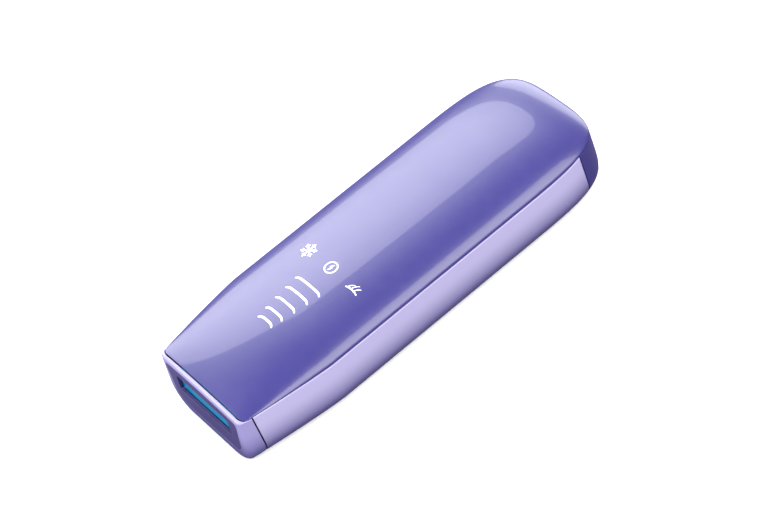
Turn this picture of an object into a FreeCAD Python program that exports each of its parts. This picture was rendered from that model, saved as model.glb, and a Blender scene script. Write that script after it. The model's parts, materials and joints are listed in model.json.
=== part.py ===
"""Hand-held pulsed-light hair remover with a cooled contact window.

+Z is up, the display side. The flat underside lies on z = 0, +Y runs from the
contact window at the front to the power inlet at the rear, and the origin is
the middle of the bottom of the bounding box. All sizes are in millimetres.
"""
import FreeCAD, Part
import math
import os
import Sketcher
from FreeCAD import Placement, Rotation, Vector

SIZES = {
    # outer form
    "body_length": 180.0,
    "body_half_width": 31.8,
    "nose_half_width": 26.0,
    "nose_taper_length": 42.0,
    "nose_edge_radius": 2.4,
    "nose_lip_radius": 1.2,
    "nose_lean": 5.6,
    "lean_length": 105.0,
    "seam_height": 24.5,
    "underside_radius": 10.0,
    "crown_height": 6.5,
    "crown_nose_height": 0.95,
    "crown_rise_length": 46.0,
    "crown_fall_length": 36.0,
    "tail_length": 46.5,
    "tail_base_rounding": 6.0,
    "base_trim": 0.25,
    "tail_overrun": 0.25,
    "wall": 2.0,
    "nose_wall": 3.2,
    # seams, measured from the front
    "cover_front": 1.7,
    "collar_seam": 7.9,
    "cap_seam": 165.5,
    # front face, measured in the leaning plane of the face
    "face_top_half_width": 23.2,
    "face_bottom_half_width": 20.4,
    "face_bottom": 2.7,
    "face_top": 20.6,
    "face_top_bow": 0.95,
    "face_bottom_corner": 6.0,
    "face_top_corner": 1.6,
    "face_thickness": 1.4,
    "window_width": 33.0,
    "window_height": 7.4,
    "window_centre": 13.9,
    "window_border": 1.6,
    "window_corner": 1.2,
    "pane_corner": 1.6,
    "window_thickness": 1.8,
    "seal_width": 1.0,
    "seal_corner": 2.4,
    # cooling of the window
    "frame_width": 42.0,
    "frame_height": 19.0,
    "frame_thickness": 2.6,
    "frame_margin": 3.4,
    "cooler_centre": 1.9,
    "peltier_width": 30.0,
    "peltier_length": 3.2,
    "peltier_height": 7.4,
    "hot_block_width": 36.0,
    "hot_block_length": 5.0,
    "hot_block_height": 7.4,
    "heat_pipe_diameter": 3.0,
    "heat_pipe_spread": 12.0,
    "thermistor_width": 2.4,
    "thermistor_length": 1.6,
    "thermistor_height": 1.4,
    "sink_width": 44.0,
    "sink_length": 32.0,
    "sink_base_height": 4.4,
    "sink_fin_height": 7.0,
    "sink_fin_thickness": 0.8,
    "sink_fin_spacing": 3.6,
    # lamp
    "filter_width": 37.0,
    "filter_length": 1.4,
    "filter_height": 9.6,
    "reflector_width": 37.0,
    "reflector_length": 11.0,
    "reflector_height": 10.4,
    "reflector_skin": 0.8,
    "lamp_diameter": 4.0,
    "lamp_length": 42.0,
    "electrode_diameter": 2.0,
    "electrode_length": 3.0,
    "lamp_frame_width": 46.0,
    "lamp_frame_length": 13.6,
    "lamp_frame_height": 11.8,
    # fan
    "fan_frame_width": 38.0,
    "fan_frame_length": 38.0,
    "fan_frame_height": 11.0,
    "fan_bore_diameter": 34.0,
    "fan_hub_diameter": 13.0,
    "fan_hub_height": 5.6,
    "fan_blade_length": 11.0,
    "fan_blade_thickness": 1.0,
    "fan_blade_height": 5.0,
    "fan_shaft_diameter": 2.0,
    "fan_shaft_height": 7.4,
    "fan_bearing_diameter": 6.0,
    "fan_strut_width": 3.0,
    "grille_diameter": 35.0,
    "grille_flange_diameter": 38.0,
    "grille_slot_width": 1.6,
    "grille_slot_spacing": 3.4,
    "grille_face_depth": 0.6,
    # power electronics
    "capacitor_diameter": 18.0,
    "capacitor_length": 44.0,
    "clip_length": 8.0,
    "clip_wall": 1.4,
    "power_board_width": 50.0,
    "power_board_length": 52.0,
    "power_board_height": 1.6,
    "transformer_width": 13.0,
    "transformer_length": 15.0,
    "transformer_height": 11.0,
    "choke_diameter": 12.0,
    "choke_height": 8.0,
    "driver_width": 10.0,
    "driver_length": 5.0,
    "driver_height": 14.0,
    # display
    "display_board_width": 42.0,
    "display_board_length": 46.0,
    "display_board_height": 1.2,
    "shield_width": 38.0,
    "shield_length": 42.0,
    "shield_height": 1.6,
    "shield_slot": 2.4,
    "shield_well": 7.2,
    "led_width": 1.6,
    "led_length": 1.2,
    "led_height": 0.7,
    "icon_depth": 0.6,
    "bar_stroke": 1.0,
    "bar_bow": 0.8,
    "bar_hook": 0.9,
    "icon_row": 67.6,
    "icon_spread": 14.4,
    "flake_radius": 3.3,
    "flash_ring_radius": 2.9,
    "icon_stroke": 0.55,
    # buttons on the underside
    "flash_button_width": 14.0,
    "flash_button_length": 22.0,
    "small_button_diameter": 9.0,
    "button_row": 46.0,
    "small_button_row": 66.0,
    "small_button_spread": 8.0,
    "button_edge_radius": 0.35,
    "button_height": 2.5,
    "button_recess": 0.5,
    "button_gap": 0.3,
    "button_flange": 1.0,
    "button_flange_height": 0.8,
    "button_travel": 0.6,
    "plunger_diameter": 2.4,
    "plunger_height": 1.7,
    "switch_width": 6.0,
    "switch_length": 6.0,
    "switch_height": 1.8,
    "button_board_width": 34.0,
    "button_board_length": 40.0,
    "button_board_height": 1.0,
    # power inlet
    "jack_width": 9.0,
    "jack_length": 12.0,
    "jack_height": 9.0,
    "jack_bore_diameter": 5.6,
    "jack_bore_length": 9.5,
    "jack_pin_diameter": 2.1,
    "jack_pin_length": 11.0,
    "jack_root_diameter": 1.5,
    "jack_centre": 12.5,
    "jack_setback": 4.0,
    "vent_width": 1.6,
    "vent_height": 7.0,
    "vent_spacing": 3.4,
    # fasteners
    "screw_head_diameter": 4.6,
    "screw_head_height": 1.4,
    "screw_head_recess": 1.3,
    "screw_slot_length": 2.8,
    "screw_slot_width": 0.7,
    "screw_shank_diameter": 2.4,
    "screw_length": 9.0,
    "boss_diameter": 6.0,
    "board_screw_head": 4.0,
    "board_screw_shank": 2.2,
}

doc = FreeCAD.newDocument("Handset")
sheet = doc.addObject("Spreadsheet::Sheet", "Dims")
for row, (name, value) in enumerate(SIZES.items(), 1):
    sheet.set("A%d" % row, name)
    sheet.set("B%d" % row, str(value))
    sheet.setAlias("B%d" % row, name)
doc.recompute()

NODES = []


def size(name):
    """One driving dimension, read from the sheet."""
    return float(sheet.get(name))


def keep(label, thing):
    """Label an object and list it for export."""
    thing.Label = label
    NODES.append(thing)
    return thing


# ---------------------------------------------------------------- helpers

def origin_plane(body, role):
    """One of a body's own origin planes."""
    for feature in body.Origin.OriginFeatures:
        if feature.Role == role:
            return feature
    raise ValueError(role)


def new_body(label):
    body = doc.addObject("PartDesign::Body", label.replace(" ", "_"))
    body.Label = label
    return body


def new_sketch(body, name, role="XY_Plane"):
    sketch = body.newObject("Sketcher::SketchObject", name)
    sketch.AttachmentSupport = [(origin_plane(body, role), "")]
    sketch.MapMode = "FlatFace"
    return sketch


def bind(sketch, constraint, value):
    sketch.setExpression("Constraints." + constraint, value)


def rectangle(sketch, width, length):
    """A rectangle centred on the sketch origin, its sides bound to the sheet."""
    half_w = size(width) / 2
    half_l = size(length) / 2
    corners = [Vector(-half_w, -half_l, 0), Vector(half_w, -half_l, 0),
               Vector(half_w, half_l, 0), Vector(-half_w, half_l, 0)]
    for i in range(4):
        sketch.addGeometry(Part.LineSegment(corners[i], corners[(i + 1) % 4]), False)
    for i in range(4):
        sketch.addConstraint(Sketcher.Constraint("Coincident", i, 2, (i + 1) % 4, 1))
    for i in (0, 2):
        sketch.addConstraint(Sketcher.Constraint("Horizontal", i))
    for i in (1, 3):
        sketch.addConstraint(Sketcher.Constraint("Vertical", i))
    sketch.addConstraint(Sketcher.Constraint("Symmetric", 0, 1, 2, 1, -1, 1))
    across = sketch.addConstraint(Sketcher.Constraint("DistanceX", 0, 1, 0, 2, 2 * half_w))
    sketch.renameConstraint(across, "across")
    along = sketch.addConstraint(Sketcher.Constraint("DistanceY", 1, 1, 1, 2, 2 * half_l))
    sketch.renameConstraint(along, "along")
    bind(sketch, "across", "Dims." + width)
    bind(sketch, "along", "Dims." + length)


def circle(sketch, diameter):
    """A circle on the sketch origin, its diameter bound to the sheet."""
    sketch.addGeometry(Part.Circle(Vector(0, 0, 0), Vector(0, 0, 1), size(diameter) / 2), False)
    sketch.addConstraint(Sketcher.Constraint("Coincident", 0, 3, -1, 1))
    across = sketch.addConstraint(Sketcher.Constraint("Diameter", 0, size(diameter)))
    sketch.renameConstraint(across, "across")
    bind(sketch, "across", "Dims." + diameter)


def pad(body, sketch, height, name="Pad"):
    feature = body.newObject("PartDesign::Pad", name)
    feature.Profile = sketch
    feature.setExpression("Length", "Dims." + height)
    sketch.Visibility = False
    return feature


def block(label, prefix, place, round_by=0.0):
    """A sketched rectangular body that stands on its local XY plane."""
    body = new_body(label)
    sketch = new_sketch(body, "Outline")
    rectangle(sketch, prefix + "_width", prefix + "_length")
    feature = pad(body, sketch, prefix + "_height")
    if round_by:
        doc.recompute()
        upright = []
        for i, edge in enumerate(feature.Shape.Edges, 1):
            box = edge.BoundBox
            if box.XLength < 0.01 and box.YLength < 0.01:
                upright.append("Edge%d" % i)
        fillet = body.newObject("PartDesign::Fillet", "Corners")
        fillet.Base = (feature, upright)
        fillet.Radius = round_by
    body.Placement = place
    return body


def disc(label, diameter, height, place):
    """A sketched round body that stands on its local XY plane."""
    body = new_body(label)
    sketch = new_sketch(body, "Outline")
    circle(sketch, diameter)
    pad(body, sketch, height)
    body.Placement = place
    return body


def shaped(label, shape):
    """A part whose form is worked out in code from the sheet's sizes."""
    part = doc.addObject("Part::Feature", label)
    part.Shape = shape
    part.Label = label
    return part


def box_at(low, high):
    """A solid box between two corners."""
    return Part.makeBox(high[0] - low[0], high[1] - low[1], high[2] - low[2], Vector(*low))


def rod(radius, start, end):
    """A solid cylinder from one point to another."""
    axis = Vector(*end) - Vector(*start)
    return Part.makeCylinder(radius, axis.Length, Vector(*start), axis)


def carve(label, base, tools):
    """A boolean cut of document objects."""
    tool = tools[0]
    if len(tools) > 1:
        tool = doc.addObject("Part::MultiFuse", label + "_tools")
        tool.Shapes = tools
    result = doc.addObject("Part::Cut", label)
    result.Base = base
    result.Tool = tool
    return result


FRONT = -size("body_length") / 2
UPRIGHT = Rotation()
ALONG_Y = Rotation(Vector(1, 0, 0), -90)     # local Z points to the rear
ALONG_X = Rotation(Vector(0, 1, 0), 90)      # local Z points to +X
UPSIDE_DOWN = Rotation(Vector(1, 0, 0), 180)


def at(x, from_front, z, rotation=UPRIGHT):
    """A placement given by its distance from the front."""
    return Placement(Vector(x, FRONT + from_front, z), rotation)


# ---------------------------------------------------------------- outer form

SEAM = size("seam_height")
LENGTH = size("body_length")
LEAN = math.radians(size("nose_lean"))
# Exponents of the curves that shape the two ends, and the share of a wall's
# inset that is taken off the height of the shallow crown.
TAPER_POWER = 1.25
TAIL_POWER = 3.9
RISE_POWER = 1.95
FALL_POWER = 2.0
BASE_POWER = 2.2
CROWN_INSET = 0.9


def fade(distance, end, reach, power):
    """Superelliptic fall from one to nothing over the last stretch."""
    u = (distance - (end - reach)) / reach
    u = min(max(u, 0.0), 1.0)
    return (1 - u ** power) ** (1 / power)


def rounding(distance, radius):
    """How far a rounded edge has fallen back at a distance from the front."""
    into = max(0.0, radius - distance)
    return radius - math.sqrt(radius ** 2 - into ** 2)


def section_sizes(distance, inset):
    """Half width, crown height, shoulder and base heights of one cross-section."""
    end = LENGTH + size("tail_overrun") - inset
    nose = rounding(distance, size("nose_edge_radius"))
    taper = max(0.0, 1 - distance / size("nose_taper_length")) ** TAPER_POWER
    half = size("body_half_width") - (size("body_half_width") - size("nose_half_width")) * taper
    half = (half - inset) * fade(distance, end, size("tail_length") - inset, TAIL_POWER) - nose
    rise = max(0.0, 1 - distance / size("crown_rise_length")) ** RISE_POWER
    crown = size("crown_height") - (size("crown_height") - size("crown_nose_height")) * rise
    crown = max(crown - CROWN_INSET * inset, 0.25)
    crown = crown * fade(distance, end, size("crown_fall_length") - inset, FALL_POWER)
    below = SEAM - inset if inset else SEAM + size("base_trim")
    depth = below * fade(distance, end, size("tail_base_rounding"), BASE_POWER)
    shoulder = SEAM - rounding(distance, size("nose_lip_radius"))
    return half, crown, shoulder, SEAM - depth + nose


def upright_arc(half, height, shoulder):
    """The crown: half an ellipse standing on the shoulder line."""
    arc = Part.ArcOfEllipse(Part.Ellipse(Vector(0, 0, 0), half, height), 0, math.pi).toShape()
    arc.rotate(Vector(0, 0, 0), Vector(1, 0, 0), 90)
    arc.translate(Vector(0, 0, shoulder))
    return arc


def tray_edges(half, shoulder, base, radius):
    """The tray from the left shoulder, round the underside, to the right one."""
    corner = radius * (1 - math.sqrt(0.5))
    points = [(-half, shoulder), (-half, base + radius), (-half + radius, base),
              (half - radius, base), (half, base + radius), (half, shoulder)]
    middles = {1: (-half + corner, base + corner), 3: (half - corner, base + corner)}
    edges = []
    for i in range(5):
        start = Vector(points[i][0], 0, points[i][1])
        end = Vector(points[i + 1][0], 0, points[i + 1][1])
        if i in middles:
            middle = Vector(middles[i][0], 0, middles[i][1])
            edges.append(Part.Arc(start, middle, end).toShape())
        else:
            edges.append(Part.LineSegment(start, end).toShape())
    return edges


def closing(half, shoulder, height):
    """Straight edges that close a half section at another height."""
    corners = [Vector(half, 0, shoulder), Vector(half, 0, height),
               Vector(-half, 0, height), Vector(-half, 0, shoulder)]
    if abs(height - shoulder) < 0.001:
        corners = [corners[0], corners[3]]
    return [Part.LineSegment(a, b).toShape() for a, b in zip(corners, corners[1:])]


def section(distance, inset, portion, close_at):
    """One closed cross-section of the crown, the tray or the whole body."""
    half, crown, shoulder, base = section_sizes(distance, inset)
    lean = LEAN * max(0.0, 1 - distance / size("lean_length"))
    pivot = size("nose_edge_radius")
    stretch = 1 / math.cos(lean)
    shoulder = pivot + (shoulder - pivot) * stretch
    base = pivot + (base - pivot) * stretch
    radius = min(size("underside_radius") - inset, 0.85 * (shoulder - base), 0.85 * half)
    close = pivot + (close_at - pivot) * stretch
    if portion == "crown":
        edges = [upright_arc(half, crown, shoulder)] + closing(half, shoulder, close)
    elif portion == "tray":
        edges = tray_edges(half, shoulder, base, radius) + closing(half, shoulder, close)
    else:
        edges = [upright_arc(half, crown, shoulder)] + tray_edges(half, shoulder, base, radius)
    wire = Part.Wire(Part.__sortEdges__(edges))
    wire.rotate(Vector(0, 0, pivot), Vector(1, 0, 0), -math.degrees(lean))
    wire.translate(Vector(0, FRONT + distance, 0))
    return wire


def stations(first, last):
    """Distances from the front at which sections are taken, closer at both ends."""
    marks = [0.15, 0.45, 0.8, 1.2, 1.8, 2.4, 3.4, 5.0, 8, 11, 15, 21, 29]
    marks += [37, 44, 52, 64, 78, 92, 106, 118]
    marks += [LENGTH - 1.45 * k for k in range(1, 12)]
    marks += [LENGTH - 16.0 - 3.2 * k for k in range(14)]
    inner = [m for m in sorted(marks) if first + 0.1 < m < last - 0.4]
    return [first] + inner + [last]


def form(portion, first, last, inset=0.0, close_at=None):
    """Part of the body's outline as a solid, offset inward by the inset."""
    if close_at is None:
        close_at = SEAM
    last = min(last, LENGTH - inset)
    wires = [section(mark, inset, portion, close_at) for mark in stations(first, last)]
    return Part.makeLoft(wires, True, False, False, 3)


REACH = 200.0


def slab(from_front, to_front, low, high):
    """A box across the whole width between two distances and two heights."""
    return box_at((-REACH, FRONT + from_front, low), (REACH, FRONT + to_front, high))


WALL = size("wall")
NOSE_WALL = size("nose_wall")
COVER_FRONT = size("cover_front")
COLLAR = size("collar_seam")
CAP = size("cap_seam")
BELOW = SEAM - 6
ABOVE = SEAM + 12
crown_outer = form("crown", COVER_FRONT, LENGTH)
crown_inner = form("crown", COVER_FRONT - 1, LENGTH, WALL, BELOW)
crown_skin = form("crown", COVER_FRONT - 1, LENGTH, size("icon_depth"), BELOW)
nose_outer = form("whole", 0.0, 14.0).common(slab(-REACH, COLLAR, 0, REACH))
nose_inner = form("whole", NOSE_WALL, 14.0, WALL)
tray_outer = form("tray", 4.0, CAP).common(slab(COLLAR, REACH, 0, REACH))
tray_inner = form("tray", 3.4, CAP + 2, WALL, ABOVE)
cap_outer = form("tray", CAP, LENGTH).common(slab(0, REACH * 2, 0, REACH))
cap_inner = form("tray", CAP - 2, LENGTH, WALL, ABOVE)
# The face lies in a plane that leans back; its frame has X across, Z up the
# face and Y into the body.
FACE = Placement(Vector(0, FRONT, size("nose_edge_radius")),
                 Rotation(Vector(1, 0, 0), -size("nose_lean")))


def face_at(x, depth, up, rotation=UPRIGHT):
    """A placement given in the frame of the leaning face."""
    return FACE * Placement(Vector(x, depth, up), rotation)


def in_face(shape):
    """Move a shape from the face's frame to the body's."""
    moved = shape.copy()
    moved.Placement = FACE * moved.Placement
    return moved


def face_box(width, height, centre, near, far, radius=0.0):
    """A box in the face's frame, with rounded corners if a radius is given."""
    box = box_at((-width / 2, near, centre - height / 2), (width / 2, far, centre + height / 2))
    if radius:
        along = [e for e in box.Edges if e.BoundBox.XLength < 0.01 and e.BoundBox.ZLength < 0.01]
        box = box.makeFillet(radius, along)
    return in_face(box)


def face_outline():
    """The tapered insert of the front face, as a prism through the face plane."""
    top = size("face_top")
    low = size("face_bottom")
    wide = size("face_top_half_width")
    narrow = size("face_bottom_half_width")
    depth = size("face_thickness")
    bow = size("face_top_bow")
    left, right = Vector(-wide, -1, top), Vector(wide, -1, top)
    bottom_left, bottom_right = Vector(-narrow, -1, low), Vector(narrow, -1, low)
    edges = [Part.LineSegment(bottom_left, bottom_right).toShape(),
             Part.LineSegment(bottom_right, right).toShape(),
             Part.Arc(right, Vector(0, -1, top + bow), left).toShape(),
             Part.LineSegment(left, bottom_left).toShape()]
    prism = Part.Face(Part.Wire(edges)).extrude(Vector(0, depth + 1, 0))

    def corners(solid, near_top):
        """Edges through the plate at its top or bottom corners."""
        found = []
        for edge in solid.Edges:
            box = edge.BoundBox
            across = box.XLength < 0.01 and box.ZLength < 0.01
            if across and (box.ZMin > (top + low) / 2) == near_top:
                found.append(edge)
        return found

    prism = prism.makeFillet(size("face_bottom_corner"), corners(prism, False))
    top_corners = [e for e in corners(prism, True) if e.BoundBox.ZMin > top - 0.1]
    prism = prism.makeFillet(size("face_top_corner"), top_corners)
    return in_face(prism)


prism = face_outline()
opening = face_box(size("window_width"), size("window_height"), size("window_centre"),
                   -1.0, size("face_thickness") + 0.01, size("window_corner"))
plate_w = size("window_width") + 2 * size("window_border")
plate_h = size("window_height") + 2 * size("window_border")
pane_near = size("face_thickness")
pane_far = pane_near + size("window_thickness")
pane = face_box(plate_w, plate_h, size("window_centre"), pane_near, pane_far, size("pane_corner"))
seal_w = plate_w + 2 * size("seal_width")
seal_h = plate_h + 2 * size("seal_width")
seal_corner = size("seal_corner")
seal_body = face_box(seal_w, seal_h, size("window_centre"), pane_near, pane_far, seal_corner)
well = face_box(seal_w, seal_h, size("window_centre"), pane_near, pane_far + 3.0, seal_corner)

keep("face_plate", shaped("face_plate", nose_outer.common(prism).cut(opening)))
keep("sapphire_window", shaped("sapphire_window", pane))
keep("window_seal", shaped("window_seal", seal_body.cut(pane)))

cover_zone = slab(COVER_FRONT, REACH, SEAM, REACH)
collar = nose_outer.cut(nose_inner).cut(cover_zone).cut(prism).cut(well)
keep("front_collar", shaped("front_collar", collar))

# ---------------------------------------------------------------- icons

DEEP = 60.0


def outline_prism(points):
    """An upright prism from a list of plan points."""
    corners = [Vector(x, y, SEAM - 3) for x, y in points]
    return Part.Face(Part.makePolygon(corners + corners[:1])).extrude(Vector(0, 0, DEEP))


def stroke(start, end, width):
    """An upright bar of the given width between two plan points."""
    (x0, y0), (x1, y1) = start, end
    length = math.hypot(x1 - x0, y1 - y0)
    nx = -(y1 - y0) / length * width / 2
    ny = (x1 - x0) / length * width / 2
    return outline_prism([(x0 + nx, y0 + ny), (x0 - nx, y0 - ny),
                          (x1 - nx, y1 - ny), (x1 + nx, y1 + ny)])


def bar_prism(half, from_front):
    """One level bar: a flat middle bowed to the rear, with hooked ends."""
    y = FRONT + from_front
    bow = size("bar_bow")
    hook = size("bar_hook")
    thick = size("bar_stroke")
    back = [(-half, y), (-half + 1.6 * hook, y + bow), (half - 1.6 * hook, y + bow), (half, y)]
    front = [(half - 0.5 * hook, y - thick * 0.6), (half - 2 * hook, y + bow - thick),
             (-half + 2 * hook, y + bow - thick), (-half + 0.5 * hook, y - thick * 0.6)]
    return outline_prism(back + front)


BARS = ((35.0, 4.3), (39.5, 5.2), (45.0, 6.05), (50.7, 6.8), (56.1, 7.55))


def snowflake(x, y, radius, width):
    """Six arms with a pair of barbs each."""
    pieces = []
    for k in range(6):
        turn = math.radians(60 * k)
        tip = (x + radius * math.sin(turn), y + radius * math.cos(turn))
        pieces.append(stroke((x, y), tip, width))
        root = (x + 0.55 * radius * math.sin(turn), y + 0.55 * radius * math.cos(turn))
        for side in (-1, 1):
            lean = turn + side * math.radians(50)
            barb = (root[0] + 0.42 * radius * math.sin(lean), root[1] + 0.42 * radius * math.cos(lean))
            pieces.append(stroke(root, barb, width * 0.9))
    return pieces[0].multiFuse(pieces[1:])


def flash_in_ring(x, y, radius, width):
    """A ring around a lightning stroke."""
    low = Vector(x, y, SEAM - 3)
    ring = Part.makeCylinder(radius, DEEP, low).cut(Part.makeCylinder(radius - width, DEEP, low))
    bolt = [(x + 0.30, y + 1.75), (x - 1.05, y - 0.15), (x - 0.12, y - 0.15),
            (x - 0.35, y - 1.75), (x + 1.05, y + 0.25), (x + 0.12, y + 0.25)]
    return [ring, outline_prism(bolt)]


def hair_mark(x, y, width):
    """Two bowed hairs standing on a short skin line."""
    pieces = [stroke((x - 3.2, y - 1.9), (x + 3.2, y - 1.9), width)]
    for foot in (-1.5, 1.5):
        pieces.append(stroke((x + foot, y - 1.9), (x + foot + 0.25, y + 0.1), width))
        pieces.append(stroke((x + foot + 0.25, y), (x + foot + 1.0, y + 1.9), width))
    return pieces[0].multiFuse(pieces[1:])


row_y = FRONT + size("icon_row")
spread = size("icon_spread")
thin = size("icon_stroke")
icon_prisms = {
    "level_bars": [bar_prism(half, mark) for mark, half in BARS],
    "snowflake_icon": [snowflake(-spread, row_y, size("flake_radius"), thin)],
    "flash_icon": flash_in_ring(0, row_y, size("flash_ring_radius"), thin),
    "hair_icon": [hair_mark(spread, row_y, thin)],
}
cover = crown_outer.cut(crown_inner)
for name, prisms in icon_prisms.items():
    pockets = [one.cut(crown_skin) for one in prisms]
    solids = []
    for pocket in pockets:
        solids += pocket.common(crown_outer).Solids
        cover = cover.cut(pocket)
    keep(name, shaped(name, solids[0] if len(solids) == 1 else Part.makeCompound(solids)))

# ---------------------------------------------------------------- shells

BUTTON_Y = FRONT + size("button_row")
SMALL_Y = FRONT + size("small_button_row")
FAN_FROM_FRONT = 92.0
FAN_Y = FRONT + FAN_FROM_FRONT
FRONT_SCREWS = [(-20.5, FRONT + 28.5), (20.5, FRONT + 28.5)]
REAR_SCREWS = [(-24.5, FRONT + 116.0), (24.5, FRONT + 116.0)]
SCREWS = FRONT_SCREWS + REAR_SCREWS


def rounded_slot(width, length, x, y, low, high):
    """An upright prism with half-round ends."""
    if length <= width:
        return Part.makeCylinder(width / 2, high - low, Vector(x, y, low))
    half = (length - width) / 2
    middle = box_at((x - width / 2, y - half, low), (x + width / 2, y + half, high))
    ends = [Part.makeCylinder(width / 2, high - low, Vector(x, y + s * half, low)) for s in (-1, 1)]
    return middle.multiFuse(ends).removeSplitter()


BUTTONS = {
    "flash_button": (0.0, BUTTON_Y, size("flash_button_width"), size("flash_button_length")),
    "power_button": (-size("small_button_spread"), SMALL_Y,
                     size("small_button_diameter"), size("small_button_diameter")),
    "mode_button": (size("small_button_spread"), SMALL_Y,
                    size("small_button_diameter"), size("small_button_diameter")),
}

tray = tray_outer.cut(tray_inner)
gap = size("button_gap")
for x, y, wide, long in BUTTONS.values():
    tray = tray.cut(rounded_slot(wide + 2 * gap, long + 2 * gap, x, y, -1, WALL + 1))
tray = tray.cut(Part.makeCylinder(size("grille_diameter") / 2, WALL + 2, Vector(0, FAN_Y, -1)))
boss_top = SEAM - 6.0
for x, y in SCREWS:
    boss = Part.makeCylinder(size("boss_diameter") / 2, boss_top - WALL, Vector(x, y, WALL))
    tray = tray.fuse(boss)
head_seat = size("screw_head_recess") + size("screw_head_height")
for x, y in SCREWS:
    head = Part.makeCylinder(size("screw_head_diameter") / 2, head_seat, Vector(x, y, 0))
    shank = Part.makeCylinder(size("screw_shank_diameter") / 2, size("screw_length"), Vector(x, y, 0.1))
    tray = tray.cut(head).cut(shank)
keep("lower_housing", shaped("lower_housing", tray))
keep("top_cover", shaped("top_cover", cover))

cap = cap_outer.cut(cap_inner)
jack_z = size("jack_centre")
plug_way = rod(size("jack_bore_diameter") / 2 + 0.6, (0, -FRONT - 8, jack_z), (0, -FRONT + 5, jack_z))
cap = cap.cut(plug_way)
for side in (-1, 1):
    for k in range(4):
        x = side * (8.5 + k * size("vent_spacing"))
        low = jack_z - size("vent_height") / 2
        cap = cap.cut(box_at((x - size("vent_width") / 2, -FRONT - 8, low),
                             (x + size("vent_width") / 2, -FRONT + 5, low + size("vent_height"))))
keep("rear_cap", shaped("rear_cap", cap))

# ---------------------------------------------------------------- window cooling

frame_near = pane_far
frame_far = frame_near + size("frame_thickness")
cooler_up = size("cooler_centre")
frame_top = size("window_centre") + size("window_height") / 2 + size("frame_margin")
frame_up = frame_top - size("frame_height") / 2
cold = face_box(size("frame_width"), size("frame_height"), frame_up, frame_near, frame_far, 2.0)
light_way = face_box(size("window_width"), size("window_height"), size("window_centre"),
                     frame_near - 1, frame_far + 1, 1.0)
keep("cold_frame", shaped("cold_frame", cold.cut(light_way)))
keep("peltier_module", block("peltier_module", "peltier",
                             face_at(0, frame_far + size("peltier_length") / 2, cooler_up)))
hot_near = frame_far + size("peltier_length")
hot_stock = block("hot block stock", "hot_block",
                  face_at(0, hot_near + size("hot_block_length") / 2, cooler_up), 0.8)
PIPE_Z = 8.7
SINK_Z = 7.0
SINK_FRONT = 34.0
pipe_start = 14.6
pipe_end = SINK_FRONT + size("sink_length") - 2.0
pipe_tools = []
for side in (-1, 1):
    pipe_tools.append(rod(size("heat_pipe_diameter") / 2,
                          (side * size("heat_pipe_spread"), FRONT + pipe_start, PIPE_Z),
                          (side * size("heat_pipe_spread"), FRONT + pipe_end, PIPE_Z)))
keep("heat_pipes", shaped("heat_pipes", Part.makeCompound(pipe_tools)))
pipe_tool = doc.addObject("Part::Feature", "PipeBores")
pipe_tool.Shape = Part.makeCompound([tool.copy() for tool in pipe_tools])
keep("hot_block", carve("hot_block", hot_stock, [pipe_tool]))
keep("thermistor", block("thermistor", "thermistor",
                         face_at(19.0, frame_far + size("thermistor_length") / 2, 9.0)))

# heat sink: a base plate with fins repeated across it, bored for the pipes
sink = new_body("heat sink stock")
base_sketch = new_sketch(sink, "Base")
rectangle(base_sketch, "sink_width", "sink_length")
pad(sink, base_sketch, "sink_base_height", "BasePad")
fin_sketch = new_sketch(sink, "Fin")
rectangle(fin_sketch, "sink_fin_thickness", "sink_length")
first_fin = Vector(-size("sink_width") / 2 + 1.0, 0, size("sink_base_height"))
fin_sketch.AttachmentOffset = Placement(first_fin, Rotation())
fin_pad = pad(sink, fin_sketch, "sink_fin_height", "FinPad")
fin_count = int((size("sink_width") - 2) / size("sink_fin_spacing")) + 1
fins = sink.newObject("PartDesign::LinearPattern", "Fins")
fins.Originals = [fin_pad]
fins.Direction = (fin_sketch, ["H_Axis"])
fins.Length = (fin_count - 1) * size("sink_fin_spacing")
fins.Occurrences = fin_count
sink.Tip = fins
sink.Placement = at(0, SINK_FRONT + size("sink_length") / 2, SINK_Z)
sink_bore = doc.addObject("Part::Feature", "SinkBores")
sink_bore.Shape = Part.makeCompound([tool.copy() for tool in pipe_tools])
keep("heat_sink", carve("heat_sink", sink, [sink_bore]))

# ---------------------------------------------------------------- lamp

LAMP_Z = size("nose_edge_radius") + size("window_centre") * math.cos(LEAN)
FILTER_FRONT = 10.0
keep("uv_filter", block("uv_filter", "filter",
                        at(0, FILTER_FRONT, LAMP_Z - size("filter_height") / 2)))
REFLECTOR_FRONT = FILTER_FRONT + size("filter_length") / 2 + 0.1


def parabola_trough(half_height, depth, offset):
    """A trough profile that opens toward the front, extruded across the body."""
    count = 16
    points = []
    for i in range(count + 1):
        t = -1 + 2 * i / count
        points.append(Vector(0, depth * (1 - t * t) + offset, half_height * t))
    curve = Part.BSplineCurve()
    curve.interpolate(points)
    mouth = Part.LineSegment(points[-1], points[0]).toShape()
    face = Part.Face(Part.Wire([curve.toShape(), mouth]))
    return face.extrude(Vector(size("reflector_width"), 0, 0))


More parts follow.
